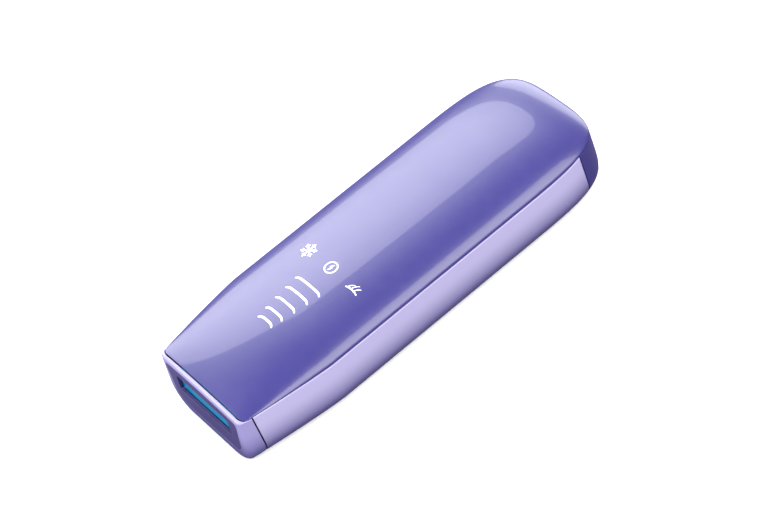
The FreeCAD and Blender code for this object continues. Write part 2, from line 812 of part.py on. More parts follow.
outer_trough = parabola_trough(size("reflector_height") / 2, size("reflector_length"), 0.0)
inner_trough = parabola_trough(size("reflector_height") / 2 - size("reflector_skin"),
                               size("reflector_length") - size("reflector_skin") * 1.4, -0.01)
trough = outer_trough.cut(inner_trough)
trough.translate(Vector(-size("reflector_width") / 2, FRONT + REFLECTOR_FRONT, LAMP_Z))
LAMP_FROM_FRONT = REFLECTOR_FRONT + size("reflector_length") * 0.45
lamp_way = rod(size("lamp_diameter") / 2 + 0.15, (-40, FRONT + LAMP_FROM_FRONT, LAMP_Z),
               (40, FRONT + LAMP_FROM_FRONT, LAMP_Z))
keep("lamp_reflector", shaped("lamp_reflector", trough.cut(lamp_way)))
keep("xenon_lamp", disc("xenon_lamp", "lamp_diameter", "lamp_length",
                        at(-size("lamp_length") / 2, LAMP_FROM_FRONT, LAMP_Z, ALONG_X)))
ends = []
for start in (-size("lamp_length") / 2 - size("electrode_length"), size("lamp_length") / 2):
    y = FRONT + LAMP_FROM_FRONT
    ends.append(rod(size("electrode_diameter") / 2, (start, y, LAMP_Z),
                    (start + size("electrode_length"), y, LAMP_Z)))
keep("lamp_electrodes", shaped("lamp_electrodes", Part.makeCompound(ends)))
side_plates = []
for side in (-1, 1):
    x0 = side * (size("reflector_width") / 2 + 0.1)
    x1 = side * (size("lamp_frame_width") / 2 - 0.6)
    low = (min(x0, x1), FRONT + REFLECTOR_FRONT, LAMP_Z - size("lamp_frame_height") / 2)
    high = (max(x0, x1), FRONT + REFLECTOR_FRONT + size("lamp_frame_length"),
            LAMP_Z + size("lamp_frame_height") / 2)
    side_plates.append(box_at(low, high))
back_low = (-size("reflector_width") / 2 - 0.1,
            FRONT + REFLECTOR_FRONT + size("reflector_length") + 0.3,
            LAMP_Z - size("lamp_frame_height") / 2)
back_high = (size("reflector_width") / 2 + 0.1, FRONT + REFLECTOR_FRONT + size("lamp_frame_length"),
             LAMP_Z + size("lamp_frame_height") / 2)
holder = side_plates[0].multiFuse([side_plates[1], box_at(back_low, back_high)]).removeSplitter()
keep("lamp_holder", shaped("lamp_holder", holder.cut(lamp_way)))

# ---------------------------------------------------------------- fan and grille

FAN_LOW = WALL + 1.0
frame_stock = block("fan frame stock", "fan_frame", at(0, FAN_FROM_FRONT, FAN_LOW), 3.0)
doc.recompute()
bearing_low = FAN_LOW + size("fan_frame_height") - 2.2
fan_frame = frame_stock.Shape.cut(Part.makeCylinder(size("fan_bore_diameter") / 2, 40,
                                                    Vector(0, FAN_Y, FAN_LOW - 5)))
top = FAN_LOW + size("fan_frame_height")
strut = size("fan_strut_width")
cross = box_at((-size("fan_bore_diameter") / 2 - 0.4, FAN_Y - strut / 2, bearing_low + 1.0),
               (size("fan_bore_diameter") / 2 + 0.4, FAN_Y + strut / 2, top))
other = cross.copy()
other.rotate(Vector(0, FAN_Y, 0), Vector(0, 0, 1), 90)
bearing = Part.makeCylinder(size("fan_bearing_diameter") / 2, top - bearing_low,
                            Vector(0, FAN_Y, bearing_low))
shaft_way = Part.makeCylinder(size("fan_shaft_diameter") / 2 + 0.05, 1.6,
                              Vector(0, FAN_Y, bearing_low))
fan_frame = fan_frame.multiFuse([cross, other, bearing]).cut(shaft_way)
keep("fan_frame", shaped("fan_frame", fan_frame))

impeller = new_body("fan_impeller")
hub_sketch = new_sketch(impeller, "Hub")
circle(hub_sketch, "fan_hub_diameter")
bore_circle = Part.Circle(Vector(0, 0, 0), Vector(0, 0, 1), size("fan_shaft_diameter") / 2)
hub_sketch.addGeometry(bore_circle, False)
hub_sketch.addConstraint(Sketcher.Constraint("Coincident", 1, 3, -1, 1))
bore_size = hub_sketch.addConstraint(Sketcher.Constraint("Diameter", 1, size("fan_shaft_diameter")))
hub_sketch.renameConstraint(bore_size, "bore")
bind(hub_sketch, "bore", "Dims.fan_shaft_diameter")
pad(impeller, hub_sketch, "fan_hub_height", "HubPad")
blade_sketch = new_sketch(impeller, "Blade")
rectangle(blade_sketch, "fan_blade_thickness", "fan_blade_length")
blade_sketch.AttachmentOffset = Placement(
    Vector(0.6, size("fan_hub_diameter") / 2 + size("fan_blade_length") / 2 - 1.8, 0),
    Rotation(Vector(0, 0, 1), 24))
blade_pad = pad(impeller, blade_sketch, "fan_blade_height", "BladePad")
blades = impeller.newObject("PartDesign::PolarPattern", "Blades")
blades.Originals = [blade_pad]
blades.Axis = (hub_sketch, ["N_Axis"])
blades.Angle = 360
blades.Occurrences = 11
impeller.Tip = blades
impeller.Placement = at(0, FAN_FROM_FRONT, FAN_LOW + 2.6)
keep("fan_impeller", impeller)
keep("fan_shaft", disc("fan_shaft", "fan_shaft_diameter", "fan_shaft_height",
                       at(0, FAN_FROM_FRONT, bearing_low + 1.4 - size("fan_shaft_height"))))

face_z = size("grille_face_depth")
grille = Part.makeCylinder(size("grille_diameter") / 2, WALL - face_z, Vector(0, FAN_Y, face_z))
flange = Part.makeCylinder(size("grille_flange_diameter") / 2, 1.0, Vector(0, FAN_Y, WALL))
grille = grille.fuse(flange)
pitch = size("grille_slot_spacing")
for k in range(-4, 5):
    x = k * pitch
    reach = math.sqrt((size("grille_diameter") / 2 - 2.0) ** 2 - x ** 2)
    grille = grille.cut(box_at((x - size("grille_slot_width") / 2, FAN_Y - reach, -1),
                               (x + size("grille_slot_width") / 2, FAN_Y + reach, 5)))
keep("intake_grille", shaped("intake_grille", grille.removeSplitter()))

# ---------------------------------------------------------------- power electronics

BOARD_FRONT = 112.0
BOARD_Z = 3.4
board_mid = BOARD_FRONT + size("power_board_length") / 2
board_stock = block("power board stock", "power_board", at(0, board_mid, BOARD_Z), 2.0)
doc.recompute()
board_shape = board_stock.Shape
deck = BOARD_Z + size("power_board_height")
for x, y in REAR_SCREWS:
    boss_way = Part.makeCylinder(size("boss_diameter") / 2 + 0.3, 10, Vector(x, y, 0))
    board_shape = board_shape.cut(boss_way)
board_screws = []
shank_radius = size("board_screw_shank") / 2
shank_low = WALL + 0.1
for x in (-21.0, 21.0):
    y = FRONT + 158.0
    board_shape = board_shape.cut(Part.makeCylinder(shank_radius, 10, Vector(x, y, 0)))
    head = Part.makeCylinder(size("board_screw_head") / 2, 1.2, Vector(x, y, deck))
    shank = Part.makeCylinder(shank_radius, deck - shank_low, Vector(x, y, shank_low))
    board_screws.append(head.fuse(shank))
keep("power_board", shaped("power_board", board_shape))
keep("board_screws", shaped("board_screws", Part.makeCompound(board_screws)))
can_x = -11.0
can_radius = size("capacitor_diameter") / 2
can_z = deck + can_radius + 0.2
keep("flash_capacitor", disc("flash_capacitor", "capacitor_diameter", "capacitor_length",
                             at(can_x, 118.0, can_z, ALONG_Y)))
clip_y = FRONT + 138.0
clip_half = can_radius + size("clip_wall")
clip_block = box_at((can_x - clip_half, clip_y - size("clip_length") / 2, deck),
                    (can_x + clip_half, clip_y + size("clip_length") / 2, deck + can_radius))
can_way = rod(can_radius, (can_x, FRONT + 100, can_z), (can_x, FRONT + 180, can_z))
keep("capacitor_clip", shaped("capacitor_clip", clip_block.cut(can_way)))
keep("trigger_transformer", block("trigger_transformer", "transformer", at(13.0, 131.0, deck), 1.0))
keep("charge_choke", disc("charge_choke", "choke_diameter", "choke_height", at(14.0, 148.0, deck)))
keep("lamp_driver", block("lamp_driver", "driver", at(10.0, 119.0, deck), 0.5))

# ---------------------------------------------------------------- display

DISPLAY_FRONT = 31.0
display_mid = DISPLAY_FRONT + size("display_board_length") / 2
DISPLAY_Z = SEAM - 1.6
keep("display_board", block("display_board", "display_board", at(0, display_mid, DISPLAY_Z), 3.0))
shield_z = DISPLAY_Z + size("display_board_height")
shield_stock = block("light shield stock", "shield", at(0, display_mid, shield_z), 2.0)
doc.recompute()
shield = shield_stock.Shape
led_spots = []
for mark, half in BARS:
    for side in (-1, 1):
        led_spots.append((side * half / 2, FRONT + mark))
for x in (-spread, 0.0, spread):
    led_spots.append((x, row_y))
leds = []
led_half = size("led_width") / 2
led_reach = size("led_length") / 2
led_top = shield_z + size("led_height")
for x, y in led_spots:
    leds.append(box_at((x - led_half, y - led_reach, shield_z),
                       (x + led_half, y + led_reach, led_top)))
slot_half = size("shield_slot") / 2
for mark, half in BARS:
    y = FRONT + mark
    shield = shield.cut(box_at((-half, y - slot_half, 0), (half, y + slot_half, DEEP)))
for x in (-spread, 0.0, spread):
    shield = shield.cut(Part.makeCylinder(size("shield_well") / 2, DEEP, Vector(x, row_y, 0)))
keep("light_shield", shaped("light_shield", shield))
keep("indicator_leds", shaped("indicator_leds", Part.makeCompound(leds)))

# ---------------------------------------------------------------- buttons

recess = size("button_recess")
flange_low = WALL + 0.1
button_top = recess + size("button_height")
for name, (x, y, wide, long) in BUTTONS.items():
    body_shape = rounded_slot(wide, long, x, y, recess, button_top)
    rim = size("button_flange")
    lip = rounded_slot(wide + 2 * rim, long + 2 * rim, x, y, flange_low,
                       flange_low + size("button_flange_height"))
    button = body_shape.fuse(lip).removeSplitter()
    outer_edges = [e for e in button.Edges if e.BoundBox.ZMax < recess + 0.01]
    button = button.makeFillet(size("button_edge_radius"), outer_edges)
    keep(name, shaped(name, button))
switch_z = button_top + size("button_travel") + 0.4
for name, (x, y, wide, long) in BUTTONS.items():
    stem = name.replace("button", "plunger")
    keep(stem, disc(stem, "plunger_diameter", "plunger_height",
                    Placement(Vector(x, y, button_top), UPRIGHT)))
    housing = block(name + " switch stock", "switch", Placement(Vector(x, y, switch_z), UPRIGHT), 0.4)
    doc.recompute()
    well_shape = Part.makeCylinder(size("plunger_diameter") / 2 + 0.2, 1.7, Vector(x, y, switch_z - 0.1))
    label = name.replace("button", "switch")
    keep(label, shaped(label, housing.Shape.cut(well_shape)))
switch_top = switch_z + size("switch_height")
BUTTON_BOARD_FRONT = 30.0
keep("button_board", block("button_board", "button_board",
                           at(0, BUTTON_BOARD_FRONT + size("button_board_length") / 2, switch_top), 2.0))

# ---------------------------------------------------------------- power inlet and fasteners

jack_rear = -FRONT - size("jack_setback")
half_w = size("jack_width") / 2
half_h = size("jack_height") / 2
jack_stock = box_at((-half_w, jack_rear - size("jack_length"), jack_z - half_h),
                    (half_w, jack_rear, jack_z + half_h))
bore_front = jack_rear - size("jack_bore_length")
pin_start = bore_front - 2.0
pin_end = pin_start + size("jack_pin_length")
jack = jack_stock.cut(rod(size("jack_bore_diameter") / 2, (0, bore_front, jack_z), (0, -FRONT, jack_z)))
root = rod(size("jack_root_diameter") / 2, (0, pin_start, jack_z), (0, bore_front, jack_z))
pin = rod(size("jack_pin_diameter") / 2, (0, bore_front, jack_z), (0, pin_end, jack_z)).fuse(root)
keep("power_jack", shaped("power_jack", jack.cut(pin)))
keep("jack_pin", shaped("jack_pin", pin))

screws = []
head_radius = size("screw_head_diameter") / 2 - 0.05
slot_reach = size("screw_slot_length") / 2
slot_side = size("screw_slot_width") / 2
slot_top = size("screw_head_recess") + size("screw_head_height") / 2
for x, y in SCREWS:
    head = Part.makeCylinder(head_radius, size("screw_head_height"),
                             Vector(x, y, size("screw_head_recess")))
    head = head.cut(box_at((x - slot_reach, y - slot_side, 0), (x + slot_reach, y + slot_side, slot_top)))
    head = head.cut(box_at((x - slot_side, y - slot_reach, 0), (x + slot_side, y + slot_reach, slot_top)))
    shank = Part.makeCylinder(size("screw_shank_diameter") / 2, size("screw_length") - head_seat,
                              Vector(x, y, head_seat))
    screws.append(head.fuse(shank))
keep("housing_screws", shaped("housing_screws", Part.makeCompound(screws)))

# ---------------------------------------------------------------- checks and export

doc.recompute()
faults = []
for thing in doc.Objects:
    if "Invalid" in thing.State or "Error" in thing.State:
        faults.append("%s: %s" % (thing.Label, thing.State))
for node in NODES:
    if node.Shape.isNull() or not node.Shape.isValid():
        faults.append("%s: bad shape" % node.Label)
    if node.Shape.Volume <= 0:
        faults.append("%s: no volume" % node.Label)
if faults:
    raise RuntimeError("; ".join(faults))
os.makedirs("parts", exist_ok=True)
for node in NODES:
    node.Shape.exportStep(os.path.join("parts", node.Label + ".step"))
    box = node.Shape.BoundBox
    print("%-20s %9.1f mm3  x %6.1f %6.1f  y %6.1f %6.1f  z %5.1f %5.1f  solids %d" % (
        node.Label, node.Shape.Volume, box.XMin, box.XMax, box.YMin, box.YMax,
        box.ZMin, box.ZMax, len(node.Shape.Solids)))
print(len(NODES), "nodes")
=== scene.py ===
import bmesh
import bpy
import json
import math
import numpy as np
from mathutils import Matrix, Vector


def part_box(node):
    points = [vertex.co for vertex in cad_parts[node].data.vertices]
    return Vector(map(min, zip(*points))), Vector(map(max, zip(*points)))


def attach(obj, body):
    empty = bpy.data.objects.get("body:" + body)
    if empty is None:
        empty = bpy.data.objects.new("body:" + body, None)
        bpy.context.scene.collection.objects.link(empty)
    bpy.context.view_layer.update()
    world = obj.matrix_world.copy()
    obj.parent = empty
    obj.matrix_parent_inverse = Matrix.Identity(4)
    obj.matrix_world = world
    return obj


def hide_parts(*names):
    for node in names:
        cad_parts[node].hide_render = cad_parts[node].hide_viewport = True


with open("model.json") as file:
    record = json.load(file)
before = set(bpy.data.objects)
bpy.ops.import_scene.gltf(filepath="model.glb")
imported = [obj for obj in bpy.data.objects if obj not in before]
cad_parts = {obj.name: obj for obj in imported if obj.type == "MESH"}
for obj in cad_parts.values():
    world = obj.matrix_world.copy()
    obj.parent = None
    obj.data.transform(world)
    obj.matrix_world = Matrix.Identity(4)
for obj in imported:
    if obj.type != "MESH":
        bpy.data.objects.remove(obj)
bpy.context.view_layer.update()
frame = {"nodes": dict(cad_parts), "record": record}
NODES = frame["nodes"]

# ------------------------------------------------------------------ form, in mm

LENGTH = 180.0
FRONT = -90.0
SEAM = 24.5
HALF = 31.8
NOSE_HALF = 26.0
EDGE_R = 2.4
LIP_R = 1.2
LEAN = math.radians(5.6)
LEAN_LENGTH = 105.0
CROWN = 6.45
CROWN_NOSE = 0.95
CORNER_R = 10.0
NOSE_TAPER, NOSE_TAPER_POWER = 42.0, 1.25
TAIL, TAIL_POWER = 46.5, 3.9
CROWN_RISE, CROWN_RISE_POWER = 46.0, 1.95
CROWN_FALL, CROWN_FALL_POWER = 36.0, 2.0
TAIL_BASE, TAIL_BASE_POWER = 6.0, 2.2
UNDER_COLUMNS = 9
COVER_FRONT = 1.7
COLLAR = 7.9
CAP = 165.5
GAP = 0.21
ROLL = 0.26
SEAM_CORNER = 3.0
TRIM = GAP + ROLL


def fade(d, reach, power):
    u = np.clip((d - (LENGTH - reach)) / reach, 0, 1)
    return np.clip(1 - u ** power, 0, 1) ** (1 / power)


def rounding(d, radius):
    into = np.clip(radius - d, 0, None)
    return radius - np.sqrt(radius ** 2 - into ** 2)


def half_width(d):
    taper = np.clip(1 - d / NOSE_TAPER, 0, None) ** NOSE_TAPER_POWER
    return (HALF - (HALF - NOSE_HALF) * taper) * fade(d, TAIL, TAIL_POWER) - rounding(d, EDGE_R)


def crown_height(d):
    rise = np.clip(1 - d / CROWN_RISE, 0, None) ** CROWN_RISE_POWER
    return (CROWN - (CROWN - CROWN_NOSE) * rise) * fade(d, CROWN_FALL, CROWN_FALL_POWER)


def shoulder_height(d):
    return SEAM - rounding(d, LIP_R)


def base_height(d):
    return SEAM - SEAM * fade(d, TAIL_BASE, TAIL_BASE_POWER) + rounding(d, EDGE_R)


def lean_slope(d):
    return np.tan(LEAN * np.clip(1 - d / LEAN_LENGTH, 0, 1))


def to_body(x, d, z):
    """Section coordinates to the body's frame."""
    x, d, z = np.broadcast_arrays(x, d, z)
    return np.stack([x, FRONT + d + (z - EDGE_R) * lean_slope(d), z], -1)


def crown_z(x, d):
    """Height of the crowned cover at a place in the plan."""
    return shoulder_height(d) + crown_height(d) * np.sqrt(np.clip(1 - (x / half_width(d)) ** 2, 0, 1))


def crown_normal(x, d, z):
    """Outward normal of the crown."""
    step = 1e-4
    w = half_width(d)
    c = crown_height(d)
    dw = (half_width(d + step) - half_width(d - step)) / (2 * step)
    dc = (crown_height(d + step) - crown_height(d - step)) / (2 * step)
    rise = z - shoulder_height(d)
    fx = x / w ** 2
    fz = rise / c ** 2
    fd = -(x ** 2) / w ** 3 * dw - rise ** 2 / c ** 3 * dc
    n = np.stack([fx, fd, fz - fd * lean_slope(d)], -1)
    return n / np.linalg.norm(n, axis=-1, keepdims=True)


def crown_x(d, s):
    """Half width at distance s up the crown from its lower edge."""
    w = float(half_width(d))
    c = float(crown_height(d))
    turn = np.linspace(0, 1.2, 1500)
    middle = (turn[1:] + turn[:-1]) / 2
    steps = np.hypot(w * np.sin(middle), c * np.cos(middle)) * np.diff(turn)
    run = np.concatenate([[0], np.cumsum(steps)])
    return w * math.cos(float(np.interp(s, run, turn)))


TRAY_SIDE = np.concatenate([np.linspace(0, 0.12, 5)[:-1], np.linspace(0.12, 1, 9)])
TRAY_HALF = np.concatenate([TRAY_SIDE, 1 + np.linspace(0, 1, 13)[1:],
                            2 + np.linspace(0, 1, UNDER_COLUMNS)[1:]])
TRAY_COLUMNS = np.concatenate([TRAY_HALF, 6 - TRAY_HALF[-2::-1]])


def tray_section(d, t, top):
    """x and z round the tray: t 0-1 side, 1-2 corner, 2-3 underside, then mirrored to 6."""
    s = np.where(t > 3, 6 - t, t)
    w = half_width(d)
    base = base_height(d)
    r = np.minimum(np.minimum(CORNER_R, 0.85 * (top - base)), 0.85 * w)
    a = np.clip(s - 1, 0, 1) * math.pi / 2
    x = (w - r) * np.clip(3 - s, 0, 1) + r * np.cos(a) * (s < 2)
    z = np.where(s < 1, top + (base + r - top) * s, base + r - r * np.sin(a))
    return np.where(t > 3, -x, x), z


def tray_row(station, t, top, upright):
    """A row of tray points; upright 1 puts it in a vertical plane, 0 leans it with the nose."""
    d = np.full(len(t), float(station))
    for _ in range(5):
        x, z = tray_section(d, t, top)
        d = station - (z - EDGE_R) * lean_slope(d) * upright
    return to_body(x, d, z)


# ------------------------------------------------------------------ mesh making

def grid_faces(rows, cols, closed=False, flip=False, first=0):
    """Quads of a grid of vertices, row by row."""
    faces = []
    span = cols if closed else cols - 1
    for i in range(rows - 1):
        for j in range(span):
            k = (j + 1) % cols
            quad = (first + i * cols + j, first + i * cols + k,
                    first + (i + 1) * cols + k, first + (i + 1) * cols + j)
            faces.append(quad[::-1] if flip else quad)
    return faces


def weld(verts, faces, tolerance=2e-4):
    """Merge coincident vertices and drop the faces that collapse."""
    keys = {}
    remap = np.zeros(len(verts), int)
    kept = []
    for i, p in enumerate(np.round(verts / tolerance).astype(np.int64)):
        key = tuple(p)
        if key not in keys:
            keys[key] = len(kept)
            kept.append(i)
        remap[i] = keys[key]
    clean = []
    for face in faces:
        ring = []
        for i in face:
            j = int(remap[i])
            if j not in ring:
                ring.append(j)
        if len(ring) > 2:
            clean.append(tuple(ring))
    return verts[kept], clean, np.array(kept)


def mesh_normals(verts, faces):
    normals = np.zeros_like(verts)
    for face in faces:
        p = verts[list(face)]
        n = np.cross(p[1] - p[0], p[2] - p[0])
        if len(face) == 4:
            n = n + np.cross(p[2] - p[0], p[3] - p[0])
        for i in face:
            normals[i] += n
    return normals / np.maximum(np.linalg.norm(normals, axis=1, keepdims=True), 1e-12)


def boundary_loops(faces):
    follow = {}
    edges = set()
    for face in faces:
        for a, b in zip(face, face[1:] + face[:1]):
            edges.add((a, b))
    for a, b in edges:
        if (b, a) not in edges:
            follow[a] = b
    loops = []
    while follow:
        start = next(iter(follow))
        loop = [start]
        here = follow.pop(start)
        while here != start and here in follow:
            loop.append(here)
            here = follow.pop(here)
        loops.append(loop)
    return loops


def roll_edges(verts, faces, normals=None, radius=ROLL, depth=1.5, steps=4):
    """Round every open edge of a patch over and carry it inward.

    Also gives the rims, as pairs of outer and inner rings, and marks: 1 on the walls and the inner half
    of each rounding, which take a near-black painted shade that darkens the seams.
    """
    if normals is None:
        normals = mesh_normals(verts, faces)
    verts = [verts]
    norms = [normals]
    faces = list(faces)
    shade_marks = [0] * len(faces)
    total = len(normals)
    rims = []
    for loop in boundary_loops(faces):
        p = verts[0][loop]
        n = normals[loop]
        before = p - np.roll(p, 1, 0)
        after = np.roll(p, -1, 0) - p
        t1 = np.cross(before / np.maximum(np.linalg.norm(before, axis=1, keepdims=True), 1e-9), n)
        t2 = np.cross(after / np.maximum(np.linalg.norm(after, axis=1, keepdims=True), 1e-9), n)
        t = t1 + t2
        t = t / np.maximum(np.linalg.norm(t, axis=1, keepdims=True), 1e-9)
        t = t - n * (t * n).sum(1, keepdims=True)
        t = t / np.maximum(np.linalg.norm(t, axis=1, keepdims=True), 1e-9)
        stretch = 1 / np.clip((t * t2).sum(1, keepdims=True), 0.6, 1)
        rings = [np.array(loop)]
        for k in range(1, steps + 1):
            a = math.pi / 2 * k / steps
            verts.append(p + t * stretch * radius * math.sin(a) - n * radius * (1 - math.cos(a)))
            norms.append(n * math.cos(a) + t * math.sin(a))
            rings.append(np.arange(total, total + len(loop)))
            total += len(loop)
        verts.append(p + t * stretch * radius - n * depth)
        norms.append(t)
        rings.append(np.arange(total, total + len(loop)))
        total += len(loop)
        for k, (a, b) in enumerate(zip(rings, rings[1:])):
            bridge(faces, a, b)
            # Painted shade: the inner half of the rounding and the wall into the gap are marked for the
            # near-black seam colour.
            shade_marks += [int(k >= steps - 2)] * len(loop)
        rims.append((np.array(loop), rings[-1]))
    return np.concatenate(verts), faces, np.concatenate(norms), rims, shade_marks


def bridge(faces, a, b):
    """Quads between two closed rings of vertex numbers."""
    for i in range(len(a)):
        j = (i + 1) % len(a)
        faces.append((int(a[j]), int(a[i]), int(b[i]), int(b[j])))


def closed_wall(verts, faces, radius=ROLL, depth=1.5):
    """A patch turned into a wall of even thickness with rounded edges."""
    normals = mesh_normals(verts, faces)
    full, all_faces, _, rims, shade_marks = roll_edges(verts, faces, normals, radius, depth)
    first = len(full)
    for face in faces:
        all_faces.append(tuple(first + i for i in face[::-1]))
    for loop, rim in rims:
        bridge(all_faces, rim, first + loop)
    # The wall's inner face is marked for the same painted seam shade.
    shade_marks += [1] * (len(all_faces) - len(shade_marks))
    return np.concatenate([full, verts - normals * depth]), all_faces, shade_marks


def make_object(name, verts, faces, normals=None, shade_marks=None):
    """A mesh object from points in mm, with given vertex normals where they matter."""
    mesh = bpy.data.meshes.new(name)
    mesh.from_pydata((np.asarray(verts) / 1000).tolist(), [], [list(f) for f in faces])
    if shade_marks is not None:
        mesh.polygons.foreach_set("material_index", shade_marks)
    mesh.shade_smooth()
    if normals is not None and len(mesh.vertices) == len(normals):
        mesh.normals_split_custom_set_from_vertices([tuple(v) for v in normals])
    thing = bpy.data.objects.new(name, mesh)
    bpy.context.scene.collection.objects.link(thing)
    return thing


def place(thing, body, slot, material, *replaced):
    """Finish, body and the CAD nodes that a piece stands for; slot is not used."""
    thing.data.materials.clear()
    thing.data.materials.append(material)
    # Marked faces take the near-black painted seam shade.
    if any(polygon.material_index for polygon in thing.data.polygons):
        thing.data.materials.append(SEAM_SHADE)
    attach(thing, body)
    if replaced:
        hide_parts(*replaced)
    return thing


# ------------------------------------------------------------------ materials

class Paint:
    """A small helper around one node tree."""

    def __init__(self, name):
        self.material = bpy.data.materials.new(name)
        self.material.use_nodes = True
        self.tree = self.material.node_tree
        self.tree.nodes.clear()
        self.shader = self.add("ShaderNodeBsdfPrincipled")
        self.output = self.add("ShaderNodeOutputMaterial")
        self.link(self.shader.outputs[0], self.output.inputs["Surface"])
        self.coords = self.add("ShaderNodeTexCoord")

    def add(self, kind, **settings):
        node = self.tree.nodes.new(kind)
        for key, value in settings.items():
            setattr(node, key, value)
        return node

    def link(self, a, b):
        self.tree.links.new(a, b)

    def set(self, **values):
        for key, value in values.items():
            self.shader.inputs[key.replace("_", " ")].default_value = value

    def noise(self, scale, detail=3.0, rough=0.5):
        node = self.add("ShaderNodeTexNoise")
        node.inputs["Scale"].default_value = scale
        node.inputs["Detail"].default_value = detail
        node.inputs["Roughness"].default_value = rough
        self.link(self.coords.outputs["Object"], node.inputs["Vector"])
        return node.outputs["Fac"]

    def spread(self, value, low, high, start=0.3, stop=0.7):
        node = self.add("ShaderNodeMapRange")
        node.inputs["From Min"].default_value = start
        node.inputs["From Max"].default_value = stop
        node.inputs["To Min"].default_value = low
        node.inputs["To Max"].default_value = high
        self.link(value, node.inputs["Value"])
        return node.outputs["Result"]

    def blend(self, factor, a, b):
        node = self.add("ShaderNodeMix", data_type="RGBA")
        self.link(factor, node.inputs["Factor"])
        for socket, colour in ((node.inputs[6], a), (node.inputs[7], b)):
            if isinstance(colour, bpy.types.NodeSocket):
                self.link(colour, socket)
            else:
                socket.default_value = (*colour, 1)
        return node.outputs[2]

    def colour(self, source):
        self.link(source, self.shader.inputs["Base Color"])

    def roughness(self, source):
        self.link(source, self.shader.inputs["Roughness"])

    def bump(self, height, strength, distance):
        node = self.add("ShaderNodeBump")
        node.inputs["Strength"].default_value = strength
        node.inputs["Distance"].default_value = distance
        self.link(height, node.inputs["Height"])
        self.link(node.outputs["Normal"], self.shader.inputs["Normal"])


def linear(code):
    """A six-digit colour code as linear values."""
    out = []
    for i in (0, 2, 4):
        c = int(code[i:i + 2], 16) / 255
        out.append(c / 12.92 if c <= 0.04045 else ((c + 0.055) / 1.055) ** 2.4)
    return tuple(out)


def pearl(name, low, high, rough, ior, coat, coat_rough, flake=0.12, levels=None):
    """Pearlescent moulded plastic: fine flakes, faint mottling and a clear coat.

    The colour runs from low to high between two heights, a painted shade that darkens the lower part,
    or mottles where none are given.
    """
    paint = Paint(name)
    if levels:
        # Painted shade: the colour darkens from high at the upper height to low at the lower one.
        place_z = paint.add("ShaderNodeSeparateXYZ")
        paint.link(paint.coords.outputs["Object"], place_z.inputs[0])
        painted_shade_share = paint.add("ShaderNodeMapRange", interpolation_type="SMOOTHSTEP")
        painted_shade_share.inputs["From Min"].default_value = levels[0]
        painted_shade_share.inputs["From Max"].default_value = levels[1]
        paint.link(place_z.outputs["Z"], painted_shade_share.inputs["Value"])
        tone = paint.blend(painted_shade_share.outputs["Result"], low, high)
    else:
        tone = paint.blend(paint.spread(paint.noise(60, 2.0), 0.3, 0.7), low, high)
    flakes = paint.spread(paint.noise(9000, 1.0), 0.0, flake, 0.45, 0.75)
    paint.colour(paint.blend(flakes, tone, tuple(min(1.0, c * 1.8 + 0.03) for c in high)))
    paint.roughness(paint.spread(paint.noise(240, 3.0), rough * 0.94, rough * 1.06))
    paint.set(IOR=ior, Coat_Weight=coat, Coat_Roughness=coat_rough, Coat_IOR=1.5)
    return paint.material


def moulded(name, colour, rough, grain=1400.0, depth=0.00002, spread=0.12, metallic=0.0, coat=0.0):
    """Plain moulded plastic or metal with a fine surface grain."""
    paint = Paint(name)
    base = linear(colour)
    dim = tuple(c * (1 - spread) for c in base)
    paint.colour(paint.blend(paint.spread(paint.noise(180, 4.0), 0, 1), dim, base))
    paint.roughness(paint.spread(paint.noise(420, 3.0), rough * 0.85, min(1, rough * 1.15)))
    paint.bump(paint.noise(grain, 4.0), 0.35, depth)
    paint.set(Metallic=metallic, Coat_Weight=coat)
    return paint.material


def board_paint():
    """Solder mask with copper tracks under it and pads."""
    paint = Paint("board_paint")
    tracks = paint.add("ShaderNodeTexBrick")
    tracks.inputs["Scale"].default_value = 160
    tracks.inputs["Mortar Size"].default_value = 0.012
    paint.link(paint.coords.outputs["Object"], tracks.inputs["Vector"])
    tracks.inputs["Color1"].default_value = (*linear("0D4A33"), 1)
    tracks.inputs["Color2"].default_value = (*linear("0F5A3C"), 1)
    tracks.inputs["Mortar"].default_value = (*linear("2B8A5A"), 1)
    paint.colour(tracks.outputs["Color"])
    paint.bump(tracks.outputs["Fac"], 0.3, 0.00003)
    paint.set(Roughness=0.35, Coat_Weight=0.3)
    return paint.material


def brushed(name, colour, rough, stretch=(1, 60, 1), metallic=1.0):
    """Metal drawn or brushed in one direction."""
    paint = Paint(name)
    mapping = paint.add("ShaderNodeMapping")
    mapping.inputs["Scale"].default_value = stretch
    paint.link(paint.coords.outputs["Object"], mapping.inputs["Vector"])
    lines = paint.add("ShaderNodeTexNoise")
    lines.inputs["Scale"].default_value = 900
    paint.link(mapping.outputs[0], lines.inputs["Vector"])
    base = linear(colour)
    paint.colour(paint.blend(lines.outputs["Fac"], tuple(c * 0.8 for c in base), base))
    paint.roughness(paint.spread(lines.outputs["Fac"], rough * 0.7, rough * 1.3))
    paint.bump(lines.outputs["Fac"], 0.25, 0.00001)
    paint.set(Metallic=metallic)
    return paint.material


def sapphire():
    """Blue-green cooled window: polished crystal, with a painted glow that keeps its colour bright in
    the shade of the recess.
    """
    paint = Paint("sapphire_window")
    place_z = paint.add("ShaderNodeSeparateXYZ")
    paint.link(paint.coords.outputs["Object"], place_z.inputs[0])
    up = paint.spread(place_z.outputs["Z"], 0.0, 1.0, 0.0120, 0.0200)
    tone = paint.blend(up, linear("0090B0"), linear("0070A8"))
    tone = paint.blend(paint.spread(paint.noise(90, 2.0), 0.0, 0.3), tone, linear("0AA6C4"))
    paint.colour(tone)
    paint.roughness(paint.spread(paint.noise(300, 2.0), 0.04, 0.09))
    # Painted light: the window's colour is also given off as a glow.
    paint.set(Coat_Weight=1.0, Coat_Roughness=0.02, Emission_Strength=0.5)
    paint.link(tone, paint.shader.inputs["Emission Color"])
    return paint.material


